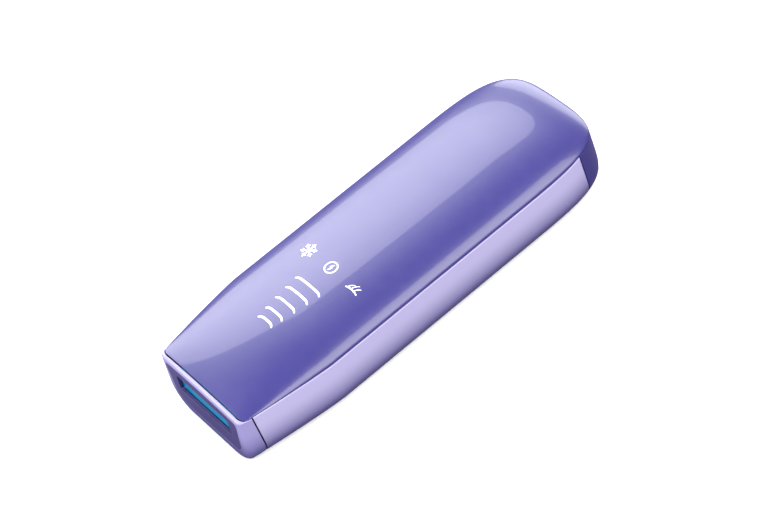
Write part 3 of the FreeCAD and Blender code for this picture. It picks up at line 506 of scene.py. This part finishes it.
def glow(name, colour, strength):
    """A lit, slightly mottled translucent inlay."""
    paint = Paint(name)
    base = linear(colour)
    tone = paint.blend(paint.spread(paint.noise(700, 2.0), 0, 1), tuple(c * 0.93 for c in base), base)
    paint.colour(tone)
    paint.link(tone, paint.shader.inputs["Emission Color"])
    paint.set(Emission_Strength=strength, Roughness=0.25, Coat_Weight=0.5)
    return paint.material


LAVENDER = pearl("lavender_gloss", (0.029, 0.024, 0.175), (0.033, 0.028, 0.195), 0.32, 1.60, 0.30, 0.02)
# Housing and collar satin: far darker towards the bottom, a painted shade.
SATIN_WITH_PAINTED_SHADE = pearl("lavender_satin", (0.04, 0.034, 0.22), (0.52, 0.49, 0.76), 0.42, 1.50, 0.25, 0.12,
              levels=(0.0025, 0.0200))
COLLAR_WITH_PAINTED_SHADE = pearl("collar_satin_painted_shade", (0.04, 0.034, 0.22), (0.36, 0.33, 0.62), 0.30, 1.60, 0.35, 0.08,
                     levels=(0.0015, 0.0190))
VIOLET = pearl("violet_satin", (0.030, 0.025, 0.17), (0.036, 0.030, 0.19), 0.38, 1.50, 0.2, 0.12)
FACE = pearl("face_violet", (0.040, 0.030, 0.15), (0.048, 0.038, 0.17), 0.36, 1.50, 0.3, 0.10)
GLASS = sapphire()
# Near-black painted shade for the seam gaps and the shells' inner walls.
SEAM_SHADE = moulded("painted_seam_shade", "05050F", 0.8)
SEAL = moulded("seal_rubber", "0C1468", 0.35, coat=0.5)
ICON = glow("icon_light", "FFFDF2", 1.0)
FINISH = {
    "lavender_gloss": LAVENDER,
    "lavender_satin": SATIN_WITH_PAINTED_SHADE,
    "violet_satin": VIOLET,
    "face": FACE,
    "sapphire": GLASS,
    "icon_light": ICON,
    "button_gloss": pearl("button_gloss", (0.20, 0.18, 0.42), (0.22, 0.20, 0.45), 0.30, 1.5, 0.6, 0.04),
    "seal": SEAL,
    "copper": brushed("copper_part", "B8734A", 0.28),
    "ceramic_white": moulded("ceramic_white", "E6E4DC", 0.5),
    "aluminium": brushed("aluminium_part", "C3C6CA", 0.32),
    "black_part": moulded("black_part", "141416", 0.45),
    "filter_glass": moulded("filter_glass", "B4632E", 0.06, metallic=0.2, coat=1.0),
    "mirror_metal": brushed("mirror_metal", "E2E3E6", 0.08),
    "lamp_glass": moulded("lamp_glass", "DCE6EC", 0.05, coat=1.0),
    "steel": brushed("steel_part", "9A9CA1", 0.3, (60, 1, 1)),
    "white_part": moulded("white_part", "DAD8D0", 0.5),
    "board_green": board_paint(),
    "sleeve": moulded("capacitor_sleeve", "10182E", 0.3, coat=0.4),
    "winding": brushed("taped_winding", "A07C28", 0.45, (1, 1, 40), 0.4),
    "brass_pin": brushed("brass_pin", "C9A95C", 0.2),
}
slot_of = {part["node"]: part["material_slot"] for part in frame["record"]["subparts"]}
for name, node in NODES.items():
    node.data.materials.clear()
    node.data.materials.append(FINISH[slot_of[name]])

# ------------------------------------------------------------------ top cover

SPINE = (CROWN_RISE, LENGTH - CROWN_FALL)


def cover_outline():
    """Trimmed edge of the cover in plan: x and distance from the front, once round."""
    start = COVER_FRONT + TRIM
    corner = COVER_FRONT + SEAM_CORNER
    turn = np.linspace(0, math.pi / 2, 14)
    arc_d = corner - (SEAM_CORNER - TRIM) * np.cos(turn)
    arc_s = SEAM_CORNER - (SEAM_CORNER - TRIM) * np.sin(turn)
    near = np.concatenate([np.linspace(corner, 16, 14)[1:], np.linspace(17.5, 60, 26)])
    x_near = [crown_x(d, s) for d, s in zip(arc_d, arc_s)] + [crown_x(d, TRIM) for d in near]
    v = np.linspace(float(fade(np.array(151.5), TAIL, TAIL_POWER)), 0.0, 74)
    tail = LENGTH - TAIL + TAIL * np.clip(1 - v ** TAIL_POWER, 0, 1) ** (1 / TAIL_POWER)
    stop = LENGTH - CROWN_FALL + CROWN_FALL * math.sqrt(1 - (TRIM / CROWN) ** 2) - 0.02
    far = np.concatenate([np.linspace(61.5, 150, 48), tail[tail < stop]])
    x_far = half_width(far) * np.sqrt(np.clip(1 - (TRIM / crown_height(far)) ** 2, 0, 1))
    x = np.concatenate([x_near, x_far])
    d = np.concatenate([arc_d, near, far])
    front = np.linspace(-x[0], x[0], 50)[1:-1]
    rear = np.linspace(x[-1], -x[-1], 14)[1:-1]
    xs = np.concatenate([front, x, rear, -x[::-1]])
    ds = np.concatenate([np.full(len(front), start), d, np.full(len(rear), d[-1]), d[::-1]])
    return xs, ds


def build_cover():
    xs, ds = cover_outline()
    spine = np.clip(ds, *SPINE)
    count = len(xs)
    turns = np.linspace(0, math.radians(85.5), 46)
    reach = np.sin(turns) / math.sin(turns[-1])
    rows = []
    normals = []
    for t in reach:
        x = xs * t
        d = spine + (ds - spine) * t
        z = crown_z(x, d)
        rows.append(to_body(x, d, z))
        normals.append(crown_normal(x, d, z))
    verts = np.concatenate(rows)
    normals = np.concatenate(normals)
    faces = grid_faces(len(rows), count, closed=True, flip=True)
    verts, faces, kept = weld(verts, faces)
    verts, faces, normals, _, shade_marks = roll_edges(verts, faces, normals[kept], depth=1.6)
    return make_object("top_cover_shell", verts, faces, normals, shade_marks)


place(build_cover(), "handset", "lavender_gloss", LAVENDER, "top_cover")

# ------------------------------------------------------------------ lower housing, rear cap

def oval(width, length, grow=0.0, count=48):
    """Plan outline with half-round ends, or a circle."""
    r = width / 2 + grow
    half = max(0.0, (length - width) / 2)
    a = np.linspace(0, 2 * math.pi, count, endpoint=False) + math.pi / count
    return np.stack([r * np.cos(a), r * np.sin(a) + half * np.sign(np.sin(a))], 1)


def plug_mesh(width, length, place_at, levels, axis="z", count=48):
    """A closed stack of outlines, used to cut an opening: levels are (height, grow)."""
    rows = []
    for level, grow in levels:
        loop = oval(width, length, grow, count)
        if axis == "z":
            rows.append(np.column_stack([loop, np.full(count, level)]))
        else:
            rows.append(np.column_stack([loop[:, 0], np.full(count, level), loop[:, 1]]))
    verts = np.concatenate(rows) + np.array(place_at)
    faces = grid_faces(len(rows), count, closed=True)
    faces.append(tuple(range(count))[::-1])
    faces.append(tuple(range(len(verts) - count, len(verts))))
    return verts, faces


def join(parts):
    """Several vertex and face lists as one."""
    verts = []
    faces = []
    total = 0
    for v, f in parts:
        verts.append(v)
        faces += [tuple(i + total for i in face) for face in f]
        total += len(v)
    return np.concatenate(verts), faces


def outward(thing):
    """Face every closed surface of a mesh outward."""
    bm = bmesh.new()
    bm.from_mesh(thing.data)
    bmesh.ops.recalc_face_normals(bm, faces=bm.faces)
    bm.to_mesh(thing.data)
    bm.free()


def pierce(thing, cutters):
    """Cut openings through a closed wall, after facing it and the cutters outward."""
    tool = make_object("cutter", *join(cutters))
    outward(tool)
    outward(thing)
    boolean = thing.modifiers.new("openings", "BOOLEAN")
    boolean.operation = "DIFFERENCE"
    boolean.solver = "EXACT"
    boolean.object = tool
    bpy.context.view_layer.update()
    graph = bpy.context.evaluated_depsgraph_get()
    cut = bpy.data.meshes.new_from_object(thing.evaluated_get(graph))
    thing.modifiers.clear()
    thing.data = cut
    thing.data.name = thing.name
    bpy.data.objects.remove(tool, do_unlink=True)


def settle(thing, angle=35):
    """Smooth shading that keeps real edges and weights by face area."""
    thing.data.shade_smooth()
    thing.data.set_sharp_from_angle(angle=math.radians(angle))
    weighted = thing.modifiers.new("weighted", "WEIGHTED_NORMAL")
    weighted.keep_sharp = True
    weighted.mode = "FACE_AREA"


SCREWS = ((-20.5, -61.5), (20.5, -61.5), (-24.5, 26.0), (24.5, 26.0))
SCREW_HOLE = 4.6
GRILLE_HOLE = 35.0
PLUG_HOLE = 6.8
VENT = (1.6, 7.0)
VENT_FIRST = 8.5
VENT_SPACING = 3.4
BUTTONS = {"flash_button": (14.6, 22.6), "power_button": (9.6, 9.6), "mode_button": (9.6, 9.6)}
OPEN = ((-1.0, 0.35), (0.0, 0.35), (0.12, 0.17), (0.35, 0.0), (4.0, 0.0))


def centre_mm(node):
    low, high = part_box(node)
    return [(a + b) * 500 for a, b in zip(low, high)]


def build_tray():
    stations = np.concatenate([[COLLAR + TRIM, COLLAR + TRIM + 0.3], np.linspace(9.5, 40, 22),
                               np.linspace(42, CAP - TRIM - 0.4, 56), [CAP - TRIM]])
    rows = []
    for d in stations:
        upright = np.clip((NOSE_TAPER - d) / (NOSE_TAPER - COLLAR - TRIM), 0, 1)
        rows.append(tray_row(d, TRAY_COLUMNS, SEAM - TRIM, upright ** 1.5))
    verts = np.concatenate(rows)
    faces = grid_faces(len(rows), len(TRAY_COLUMNS))
    verts, faces, shade_marks = closed_wall(verts, faces, depth=1.6)
    thing = make_object("lower_housing_shell", verts, faces, shade_marks=shade_marks)
    cutters = []
    for name, (wide, long) in BUTTONS.items():
        x, y, _ = centre_mm(name)
        cutters.append(plug_mesh(wide, long, (x, y, 0), OPEN))
    x, y, _ = centre_mm("intake_grille")
    cutters.append(plug_mesh(GRILLE_HOLE, GRILLE_HOLE, (x, y, 0), OPEN, count=96))
    for x, y in SCREWS:
        cutters.append(plug_mesh(SCREW_HOLE, SCREW_HOLE, (x, y, 0), OPEN, count=36))
    pierce(thing, cutters)
    settle(thing)
    return thing


def build_cap():
    f = np.linspace(1, 0.02, 26)
    by_depth = LENGTH - TAIL_BASE + TAIL_BASE * (1 - f ** TAIL_BASE_POWER) ** (1 / TAIL_BASE_POWER)
    g = np.linspace(0.9, 0.1, 16)
    by_width = LENGTH - TAIL + TAIL * (1 - g ** TAIL_POWER) ** (1 / TAIL_POWER)
    both = np.sort(np.concatenate([by_depth, by_width[by_width < by_depth[-1]]]))
    both = both[np.concatenate([[True], np.diff(both) > 1e-4])]
    body = np.concatenate([[CAP + TRIM, CAP + TRIM + 0.3], np.arange(CAP + 1.2, LENGTH - 6.4, 0.9)])
    stations = np.concatenate([body, both[both > body[-1] + 0.2]])
    rows = [tray_row(d, TRAY_COLUMNS, SEAM - TRIM, 0) for d in stations]
    verts = np.concatenate(rows)
    columns = len(TRAY_COLUMNS)
    faces = grid_faces(len(rows), columns)
    faces.append(tuple(range(len(verts) - columns, len(verts)))[::-1])
    verts, faces, shade_marks = closed_wall(verts, faces, depth=1.2)
    thing = make_object("rear_cap_shell", verts, faces, shade_marks=shade_marks)
    jack_z = centre_mm("power_jack")[2]
    through = ((-8.0, 0.0), (4.0, 0.0))
    cutters = [plug_mesh(PLUG_HOLE, PLUG_HOLE, (0, 90, jack_z), through, "y")]
    for side in (-1, 1):
        for k in range(4):
            x = side * (VENT_FIRST + VENT_SPACING * k)
            cutters.append(plug_mesh(*VENT, (x, 90, jack_z), through, "y", 24))
    pierce(thing, cutters)
    settle(thing)
    return thing


place(build_tray(), "handset", "lavender_satin", SATIN_WITH_PAINTED_SHADE, "lower_housing")
place(build_cap(), "handset", "violet_satin", VIOLET, "rear_cap")

# ------------------------------------------------------------------ nose

FACE_TRIM = 0.22
FACE_ROLL = 0.15
WINDOW = (33.0, 7.4, 13.9)
WINDOW_ROLL = 0.4
WINDOW_CORNER = 1.2
FACE_LOW, FACE_HIGH = 2.7, 20.6
FACE_LOW_HALF, FACE_HIGH_HALF = 20.4, 23.2
FACE_BOW = 0.95


def rounded_polygon(corners, radii, steps=14):
    """Corner points with arcs, once round."""
    points = []
    count = len(corners)
    for i, (corner, r) in enumerate(zip(corners, radii)):
        p = np.array(corner, float)
        a = np.array(corners[i - 1], float) - p
        b = np.array(corners[(i + 1) % count], float) - p
        a /= np.linalg.norm(a)
        b /= np.linalg.norm(b)
        half = math.acos(np.clip(a @ b, -1, 1)) / 2
        centre = p + (a + b) / np.linalg.norm(a + b) * r / math.sin(half)
        start = p + a * r / math.tan(half) - centre
        stop = p + b * r / math.tan(half) - centre
        turn = math.atan2(start[0] * stop[1] - start[1] * stop[0], start @ stop)
        for k in range(steps + 1):
            c, s = math.cos(turn * k / steps), math.sin(turn * k / steps)
            points.append(centre + np.array([c * start[0] - s * start[1], s * start[0] + c * start[1]]))
    return np.array(points)


def dense(loop, step=0.25):
    """A closed outline with points added along its straights."""
    out = []
    for p, q in zip(loop, np.roll(loop, -1, 0)):
        n = max(1, int(np.linalg.norm(q - p) / step))
        out += [p + (q - p) * k / n for k in range(n)]
    return np.array(out)


def grown(loop, distance):
    """A closed, anticlockwise outline moved outward."""
    ahead = np.roll(loop, -1, 0) - loop
    behind = loop - np.roll(loop, 1, 0)
    t = (ahead / np.linalg.norm(ahead, axis=1, keepdims=True)
         + behind / np.linalg.norm(behind, axis=1, keepdims=True))
    t /= np.linalg.norm(t, axis=1, keepdims=True)
    return loop + distance * np.column_stack([t[:, 1], -t[:, 0]])


def cast(loop, centre, angles):
    """Where rays from a centre meet a closed outline that goes once round it."""
    rel = loop - centre
    a = np.arctan2(rel[:, 1], rel[:, 0])
    r = np.linalg.norm(rel, axis=1)
    order = np.argsort(a)
    a = a[order]
    r = r[order]
    a = np.concatenate([a - 2 * math.pi, a, a + 2 * math.pi])
    r = np.tile(r, 3)
    found = np.interp(angles, a, 1 / r)
    return centre + np.column_stack([np.cos(angles), np.sin(angles)]) / found[:, None]


def face_outline():
    """Edge of the dark face plate, across and up the leaning front."""
    corners = [(-FACE_LOW_HALF, FACE_LOW), (FACE_LOW_HALF, FACE_LOW),
               (FACE_HIGH_HALF, FACE_HIGH), (-FACE_HIGH_HALF, FACE_HIGH)]
    loop = dense(rounded_polygon(corners, [6.0, 6.0, 1.6, 1.6]))
    lift = np.clip((loop[:, 1] - FACE_LOW) / (FACE_HIGH - FACE_LOW), 0, 1) ** 4
    loop[:, 1] += FACE_BOW * (1 - (loop[:, 0] / FACE_HIGH_HALF) ** 2) * lift
    return loop


def on_face(plan, inward=0.0):
    """Points on the leaning front plane from across-and-up coordinates."""
    c, s = math.cos(LEAN), math.sin(LEAN)
    return np.column_stack([plan[:, 0], FRONT + plan[:, 1] * s + inward * c,
                            EDGE_R + plan[:, 1] * c - inward * s])


LIP_SHARES = np.linspace(0, 1, 10)[1:]
LIP_MIDDLE = np.linspace(-1, 1, 48)[1:-1]


def lip_side(d, limit):
    """Crown points from just below the shoulder up to a distance from it, on the right."""
    s = -TRIM + (limit + TRIM) * LIP_SHARES
    w = float(half_width(d))
    c = float(crown_height(d))
    shoulder = float(shoulder_height(d))
    x = np.array([crown_x(d, max(0.0, one)) for one in s])
    z = shoulder + np.minimum(s, 0) + c * np.sqrt(np.clip(1 - (x / w) ** 2, 0, 1)) * (s > 0)
    return x, z


def build_collar():
    lip_end = COVER_FRONT - TRIM
    corner = COVER_FRONT + SEAM_CORNER
    stations = EDGE_R * (1 - np.cos(np.linspace(0, math.pi / 2, 13)))
    loops = np.concatenate([stations[stations < lip_end - 0.12], [lip_end]])
    arc = corner - (SEAM_CORNER + TRIM) * np.cos(np.linspace(0, math.pi / 2, 12)[1:])
    rest = np.concatenate([arc, np.linspace(corner, COLLAR - TRIM - 0.3, 7)[1:], [COLLAR - TRIM]])
    rows = []
    for d in np.concatenate([loops, rest]):
        upright = np.clip((d - corner) / (COLLAR - TRIM - corner), 0, 1)
        reach = math.sqrt(max(0.0, (SEAM_CORNER + TRIM) ** 2 - (corner - d) ** 2))
        limit = SEAM_CORNER - reach if d < corner else -TRIM
        tray = tray_row(d, TRAY_COLUMNS, float(shoulder_height(d)) - TRIM, upright)
        x, z = lip_side(d, limit)
        side = to_body(x, d, z) if limit > -TRIM else np.repeat(tray[:1], len(x), 0)
        row = [side[::-1], tray, side * (-1, 1, 1)]
        if d <= lip_end:
            x_mid = x[-1] * LIP_MIDDLE
            row.append(to_body(x_mid, d, crown_z(x_mid, d)))
        rows.append(np.concatenate(row))
    first = rows[0]
    centre = np.array([0.0, 12.0])
    plan = np.column_stack([first[:, 0], (first[:, 2] - EDGE_R) / math.cos(LEAN)])
    angles = np.arctan2(plan[:, 1] - centre[1], plan[:, 0])
    inner = on_face(cast(grown(face_outline(), FACE_TRIM), centre, angles))
    closed = [inner, (inner + first) / 2] + rows[:len(loops)]
    columns = len(first)
    faces = grid_faces(len(closed), columns, closed=True)
    total = len(closed) * columns
    before = total - columns
    for row in rows[len(loops):]:
        for j in range(len(row) - 1):
            faces.append((before + j, before + j + 1, total + j + 1, total + j))
        before = total
        total += len(row)
    verts, faces, _ = weld(np.concatenate(closed + rows[len(loops):]), faces)
    verts, faces, _, _, shade_marks = roll_edges(verts, faces, radius=FACE_ROLL, depth=1.0)
    thing = make_object("front_collar_shell", verts, faces, shade_marks=shade_marks)
    settle(thing)
    return thing


def window_loop(grow):
    """Edge of the window opening, moved outward by an amount."""
    wide, tall, up = WINDOW
    x, y = wide / 2 + grow, tall / 2 + grow
    corners = [(-x, up - y), (x, up - y), (x, up + y), (-x, up + y)]
    return dense(rounded_polygon(corners, [WINDOW_CORNER + grow] * 4))


def build_face():
    centre = np.array([0.0, WINDOW[2]])
    outer = grown(face_outline(), -FACE_TRIM)
    hole = window_loop(WINDOW_ROLL)
    angles = np.concatenate([np.arctan2(*(loop[::3] - centre).T[::-1]) for loop in (outer, hole)])
    angles = np.sort(angles)
    angles = angles[np.concatenate([[True], np.diff(angles) > 2e-3])]
    a = cast(outer, centre, angles)
    b = cast(hole, centre, angles)
    shares = (0, 0.03, 0.35, 0.7, 0.97, 1)
    rows = [on_face(a + (b - a) * t) for t in shares]
    faces = grid_faces(len(rows), len(angles), closed=True)
    verts = np.concatenate(rows)
    normals = np.tile([0.0, -math.cos(LEAN), math.sin(LEAN)], (len(verts), 1))
    verts, faces, normals, _, shade_marks = roll_edges(verts, faces, normals, radius=FACE_ROLL, depth=1.4)
    return make_object("face_plate_shell", verts, faces, normals, shade_marks)


def build_gasket():
    """Deep blue gasket that lines the window opening, from just inside the face to the pane."""
    base = window_loop(0.0)
    centre = np.array([0.0, WINDOW[2]])
    angles = np.sort(np.arctan2(*(base - centre).T[::-1]))
    profile = ((0.8, 1.42), (-0.02, 1.40), (-0.02, 0.60), (-0.08, 0.50), (-0.24, 0.50),
               (-0.32, 0.60), (-0.32, 1.38))
    rows = [on_face(cast(window_loop(grow), centre, angles), inward) for grow, inward in profile]
    faces = grid_faces(len(rows), len(angles), closed=True, flip=True)
    thing = make_object("window_gasket", np.concatenate(rows), faces)
    settle(thing)
    return thing


place(build_gasket(), "handset", "seal", SEAL, "window_seal")
place(build_collar(), "handset", "lavender_satin", COLLAR_WITH_PAINTED_SHADE, "front_collar")
place(build_face(), "handset", "face", FACE, "face_plate")

# ------------------------------------------------------------------ lit icons

ICON_LIFT = 0.03


def ribbon(points, widths, closed=False):
    """A slightly domed stroke along a plan path on the crown."""
    points = np.array(points, float)
    widths = np.broadcast_to(widths, len(points)).astype(float)
    if closed:
        tangent = np.roll(points, -1, 0) - np.roll(points, 1, 0)
    else:
        tangent = np.gradient(points, axis=0)
    tangent /= np.linalg.norm(tangent, axis=1, keepdims=True)
    side = np.column_stack([-tangent[:, 1], tangent[:, 0]])
    if not closed:
        ends = []
        for k, sign in ((0, -1), (-1, 1)):
            a = np.linspace(0.15, math.pi / 2, 5)
            for angle in a if sign > 0 else a[::-1]:
                ends.append((k, points[k] + sign * tangent[k] * widths[k] / 2 * math.sin(angle),
                             side[k], widths[k] * max(0.05, math.cos(angle))))
        head = [e for e in ends if e[0] == 0]
        tail = [e for e in ends if e[0] == -1]
        points = np.concatenate([[e[1] for e in head], points, [e[1] for e in tail]])
        side = np.concatenate([[e[2] for e in head], side, [e[2] for e in tail]])
        widths = np.concatenate([[e[3] for e in head], widths, [e[3] for e in tail]])
    across = np.array([-0.5, -0.42, 0.0, 0.42, 0.5])
    lift = np.array([-0.3, ICON_LIFT * 0.7, ICON_LIFT, ICON_LIFT * 0.7, -0.3])
    plan = points[:, None] + side[:, None] * (across[None, :, None] * widths[:, None, None])
    x = plan[..., 0]
    d = plan[..., 1]
    z = crown_z(x, d)
    n = crown_normal(x, d, z)
    verts = to_body(x, d, z) + n * lift[None, :, None]
    faces = grid_faces(len(points), 5, flip=True)
    if closed:
        last = (len(points) - 1) * 5
        for j in range(4):
            faces.append((last + j + 1, last + j, j, j + 1)[::-1])
    return verts.reshape(-1, 3), faces


def bar_strokes():
    """Five level bars: the middle bowed to the rear, the ends hooked forward."""
    parts = []
    for d, half in ((35.0, 4.3), (39.5, 5.2), (45.0, 6.05), (50.7, 6.8), (56.1, 7.55)):
        t = np.linspace(-1, 1, 41)
        x = t * (half - 0.25)
        into = np.clip((np.abs(x) - (half - 2.2)) / 1.95, 0, 1)
        y = d + 0.35 + 0.25 * (1 - t ** 2) - 0.75 * into ** 2
        parts.append(ribbon(np.column_stack([x, y]), 0.95 - 0.35 * into ** 2))
    return parts


def flake_strokes(x, d, radius=3.3, width=0.55):
    parts = []
    for k in range(6):
        a = math.radians(60 * k)
        way = np.array([math.sin(a), math.cos(a)])
        centre = np.array([x, d])
        parts.append(ribbon([centre + way * radius * s for s in (0.04, 0.35, 0.7, 1)], width * 1.2))
        root = centre + way * radius * 0.60
        for lean in (-50, 50):
            b = a + math.radians(lean)
            tip = np.array([math.sin(b), math.cos(b)]) * radius * 0.30
            parts.append(ribbon([root, root + tip / 2, root + tip], width * 0.9))
    return parts


def flash_strokes(x, d, radius=2.9, width=0.55):
    a = np.linspace(0, 2 * math.pi, 48, endpoint=False)
    ring = np.column_stack([x + (radius - width / 2) * np.cos(a), d + (radius - width / 2) * np.sin(a)])
    bolt = [(0.35, 1.6), (-0.35, 0.35), (-0.5, 0.05), (0.5, -0.05), (0.35, -0.35), (-0.35, -1.6)]
    return [ribbon(ring, width, closed=True),
            ribbon([(x + p, d + q) for p, q in bolt], [0.25, 0.6, 0.7, 0.7, 0.6, 0.25])]


def hair_strokes(x, d, width=0.55):
    """Three bowed hairs on a gently domed line of skin."""
    s = np.linspace(-1, 1, 15)
    parts = [ribbon(np.column_stack([x + 2.9 * s, d - 1.9 + 0.5 * (1 - s ** 2)]), width)]
    t = np.linspace(0, 1, 13)
    for foot, tall in ((-2.1, 2.3), (-0.5, 3.1), (1.1, 2.5)):
        parts.append(ribbon(np.column_stack([x + foot + 1.7 * t ** 2.2, d - 1.6 + tall * t]),
                            width * (1.05 - 0.65 * t)))
    return parts


ICON_ROW = 67.6
ICON_SPREAD = 14.4
MARKS = (
    ("level_bars", bar_strokes()),
    ("snowflake_icon", flake_strokes(-ICON_SPREAD, ICON_ROW)),
    ("flash_icon", flash_strokes(0, ICON_ROW)),
    ("hair_icon", hair_strokes(ICON_SPREAD, ICON_ROW)),
)
for name, parts in MARKS:
    thing = make_object(name + "_lit", *join(parts))
    settle(thing, 60)
    place(thing, "handset", "icon_light", ICON, name)

# ------------------------------------------------------------------ stage, light and camera

FLOOR_REACH = 4000
FLOOR_Z = -0.2
floor_corners = [(-FLOOR_REACH, -FLOOR_REACH, FLOOR_Z), (FLOOR_REACH, -FLOOR_REACH, FLOOR_Z),
                 (FLOOR_REACH, FLOOR_REACH, FLOOR_Z), (-FLOOR_REACH, FLOOR_REACH, FLOOR_Z)]
floor = make_object("floor", np.array(floor_corners), [(0, 1, 2, 3)])


def floor_paint():
    """Pale sweep: white to the eye, softer in the object's own reflections."""
    paint = Paint("floor")
    tone = paint.blend(paint.noise(3, 2.0), (0.90, 0.90, 0.91), (0.93, 0.93, 0.93))
    paint.colour(tone)
    paint.set(Roughness=0.9, Specular_IOR_Level=0.0)
    paint.set(Emission_Color=(1, 1, 1, 1), Emission_Strength=0.35)
    dim = paint.add("ShaderNodeBsdfDiffuse")
    dim.inputs["Color"].default_value = (0.16, 0.15, 0.24, 1)
    path = paint.add("ShaderNodeLightPath")
    mix = paint.add("ShaderNodeMixShader")
    paint.link(path.outputs["Is Camera Ray"], mix.inputs[0])
    paint.link(dim.outputs[0], mix.inputs[1])
    paint.link(paint.shader.outputs[0], mix.inputs[2])
    paint.link(mix.outputs[0], paint.output.inputs["Surface"])
    return paint.material


floor.data.materials.append(floor_paint())

world = bpy.data.worlds.new("studio")
world.use_nodes = True
world.node_tree.nodes["Background"].inputs["Color"].default_value = (1, 1, 1, 1)
world.node_tree.nodes["Background"].inputs["Strength"].default_value = 0.35
bpy.context.scene.world = world
bpy.context.scene.view_settings.view_transform = "Standard"


def softbox(name, azimuth, elevation, distance, wide, tall, radiance, shape="RECTANGLE",
            slide=(0, 0), turn=0.0, colour=(1, 1, 1)):
    """An area light of a given surface brightness, aimed at the object. Azimuth 0 is +Y, 90 is +X."""
    a, e = math.radians(azimuth), math.radians(elevation)
    way = Vector((math.sin(a) * math.cos(e), math.cos(a) * math.cos(e), math.sin(e)))
    across = way.cross(Vector((0, 0, 1))).normalized()
    up = across.cross(way)
    at = way * distance + across * slide[0] + up * slide[1]
    light = bpy.data.lights.new(name, "AREA")
    light.shape = shape
    light.size = wide
    light.size_y = tall
    area = wide * tall * (math.pi / 4 if shape == "ELLIPSE" else 1)
    light.energy = radiance * math.pi * area
    light.color = colour
    thing = bpy.data.objects.new(name, light)
    c, s = math.cos(math.radians(turn)), math.sin(math.radians(turn))
    x_axis = across * c + up * s
    y_axis = up * c - across * s
    axes = Matrix((-x_axis, y_axis, way)).transposed().to_4x4()
    thing.matrix_world = Matrix.Translation(at) @ axes
    bpy.context.scene.collection.objects.link(thing)


softbox("main_softbox", -78, 30, 1.0, 1.04, 0.60, 6.15, "ELLIPSE", slide=(-0.04, 0.12), turn=20)
softbox("rear_softbox", -34, 10, 1.1, 1.0, 0.66, 5.0, "ELLIPSE")
softbox("side_softbox", 70, 57, 1.0, 1.1, 0.84, 5.3, colour=(1, 0.97, 0.93))
softbox("front_softbox", 150, 18, 1.0, 0.6, 0.40, 4.0)
softbox("lip_softbox", -137, 14, 1.0, 0.6, 0.10, 3.0)
softbox("far_softbox", 205, 30, 1.1, 0.9, 0.5, 4.0)

CENTRE = Vector((0, 0, 0.020))
DISTANCE = 1.03064
UP = Vector((-0.47092, 0.60972, 0.63755))
BACK = Vector((0.64774, -0.25164, 0.71910))
camera_data = bpy.data.cameras.new("camera")
camera_data.sensor_width = 36.0
camera_data.lens = 127.9
camera_data.shift_x = 0.0072
camera_data.shift_y = -0.0116
camera_data.clip_start = 0.05
camera_data.clip_end = 20
camera = bpy.data.objects.new("camera", camera_data)
BACK.normalize()
RIGHT = (UP.cross(BACK)).normalized()
UP = BACK.cross(RIGHT)
camera_axes = Matrix((RIGHT, UP, BACK)).transposed().to_4x4()
camera.matrix_world = Matrix.Translation(CENTRE + BACK * DISTANCE) @ camera_axes
bpy.context.scene.collection.objects.link(camera)
bpy.context.scene.camera = camera
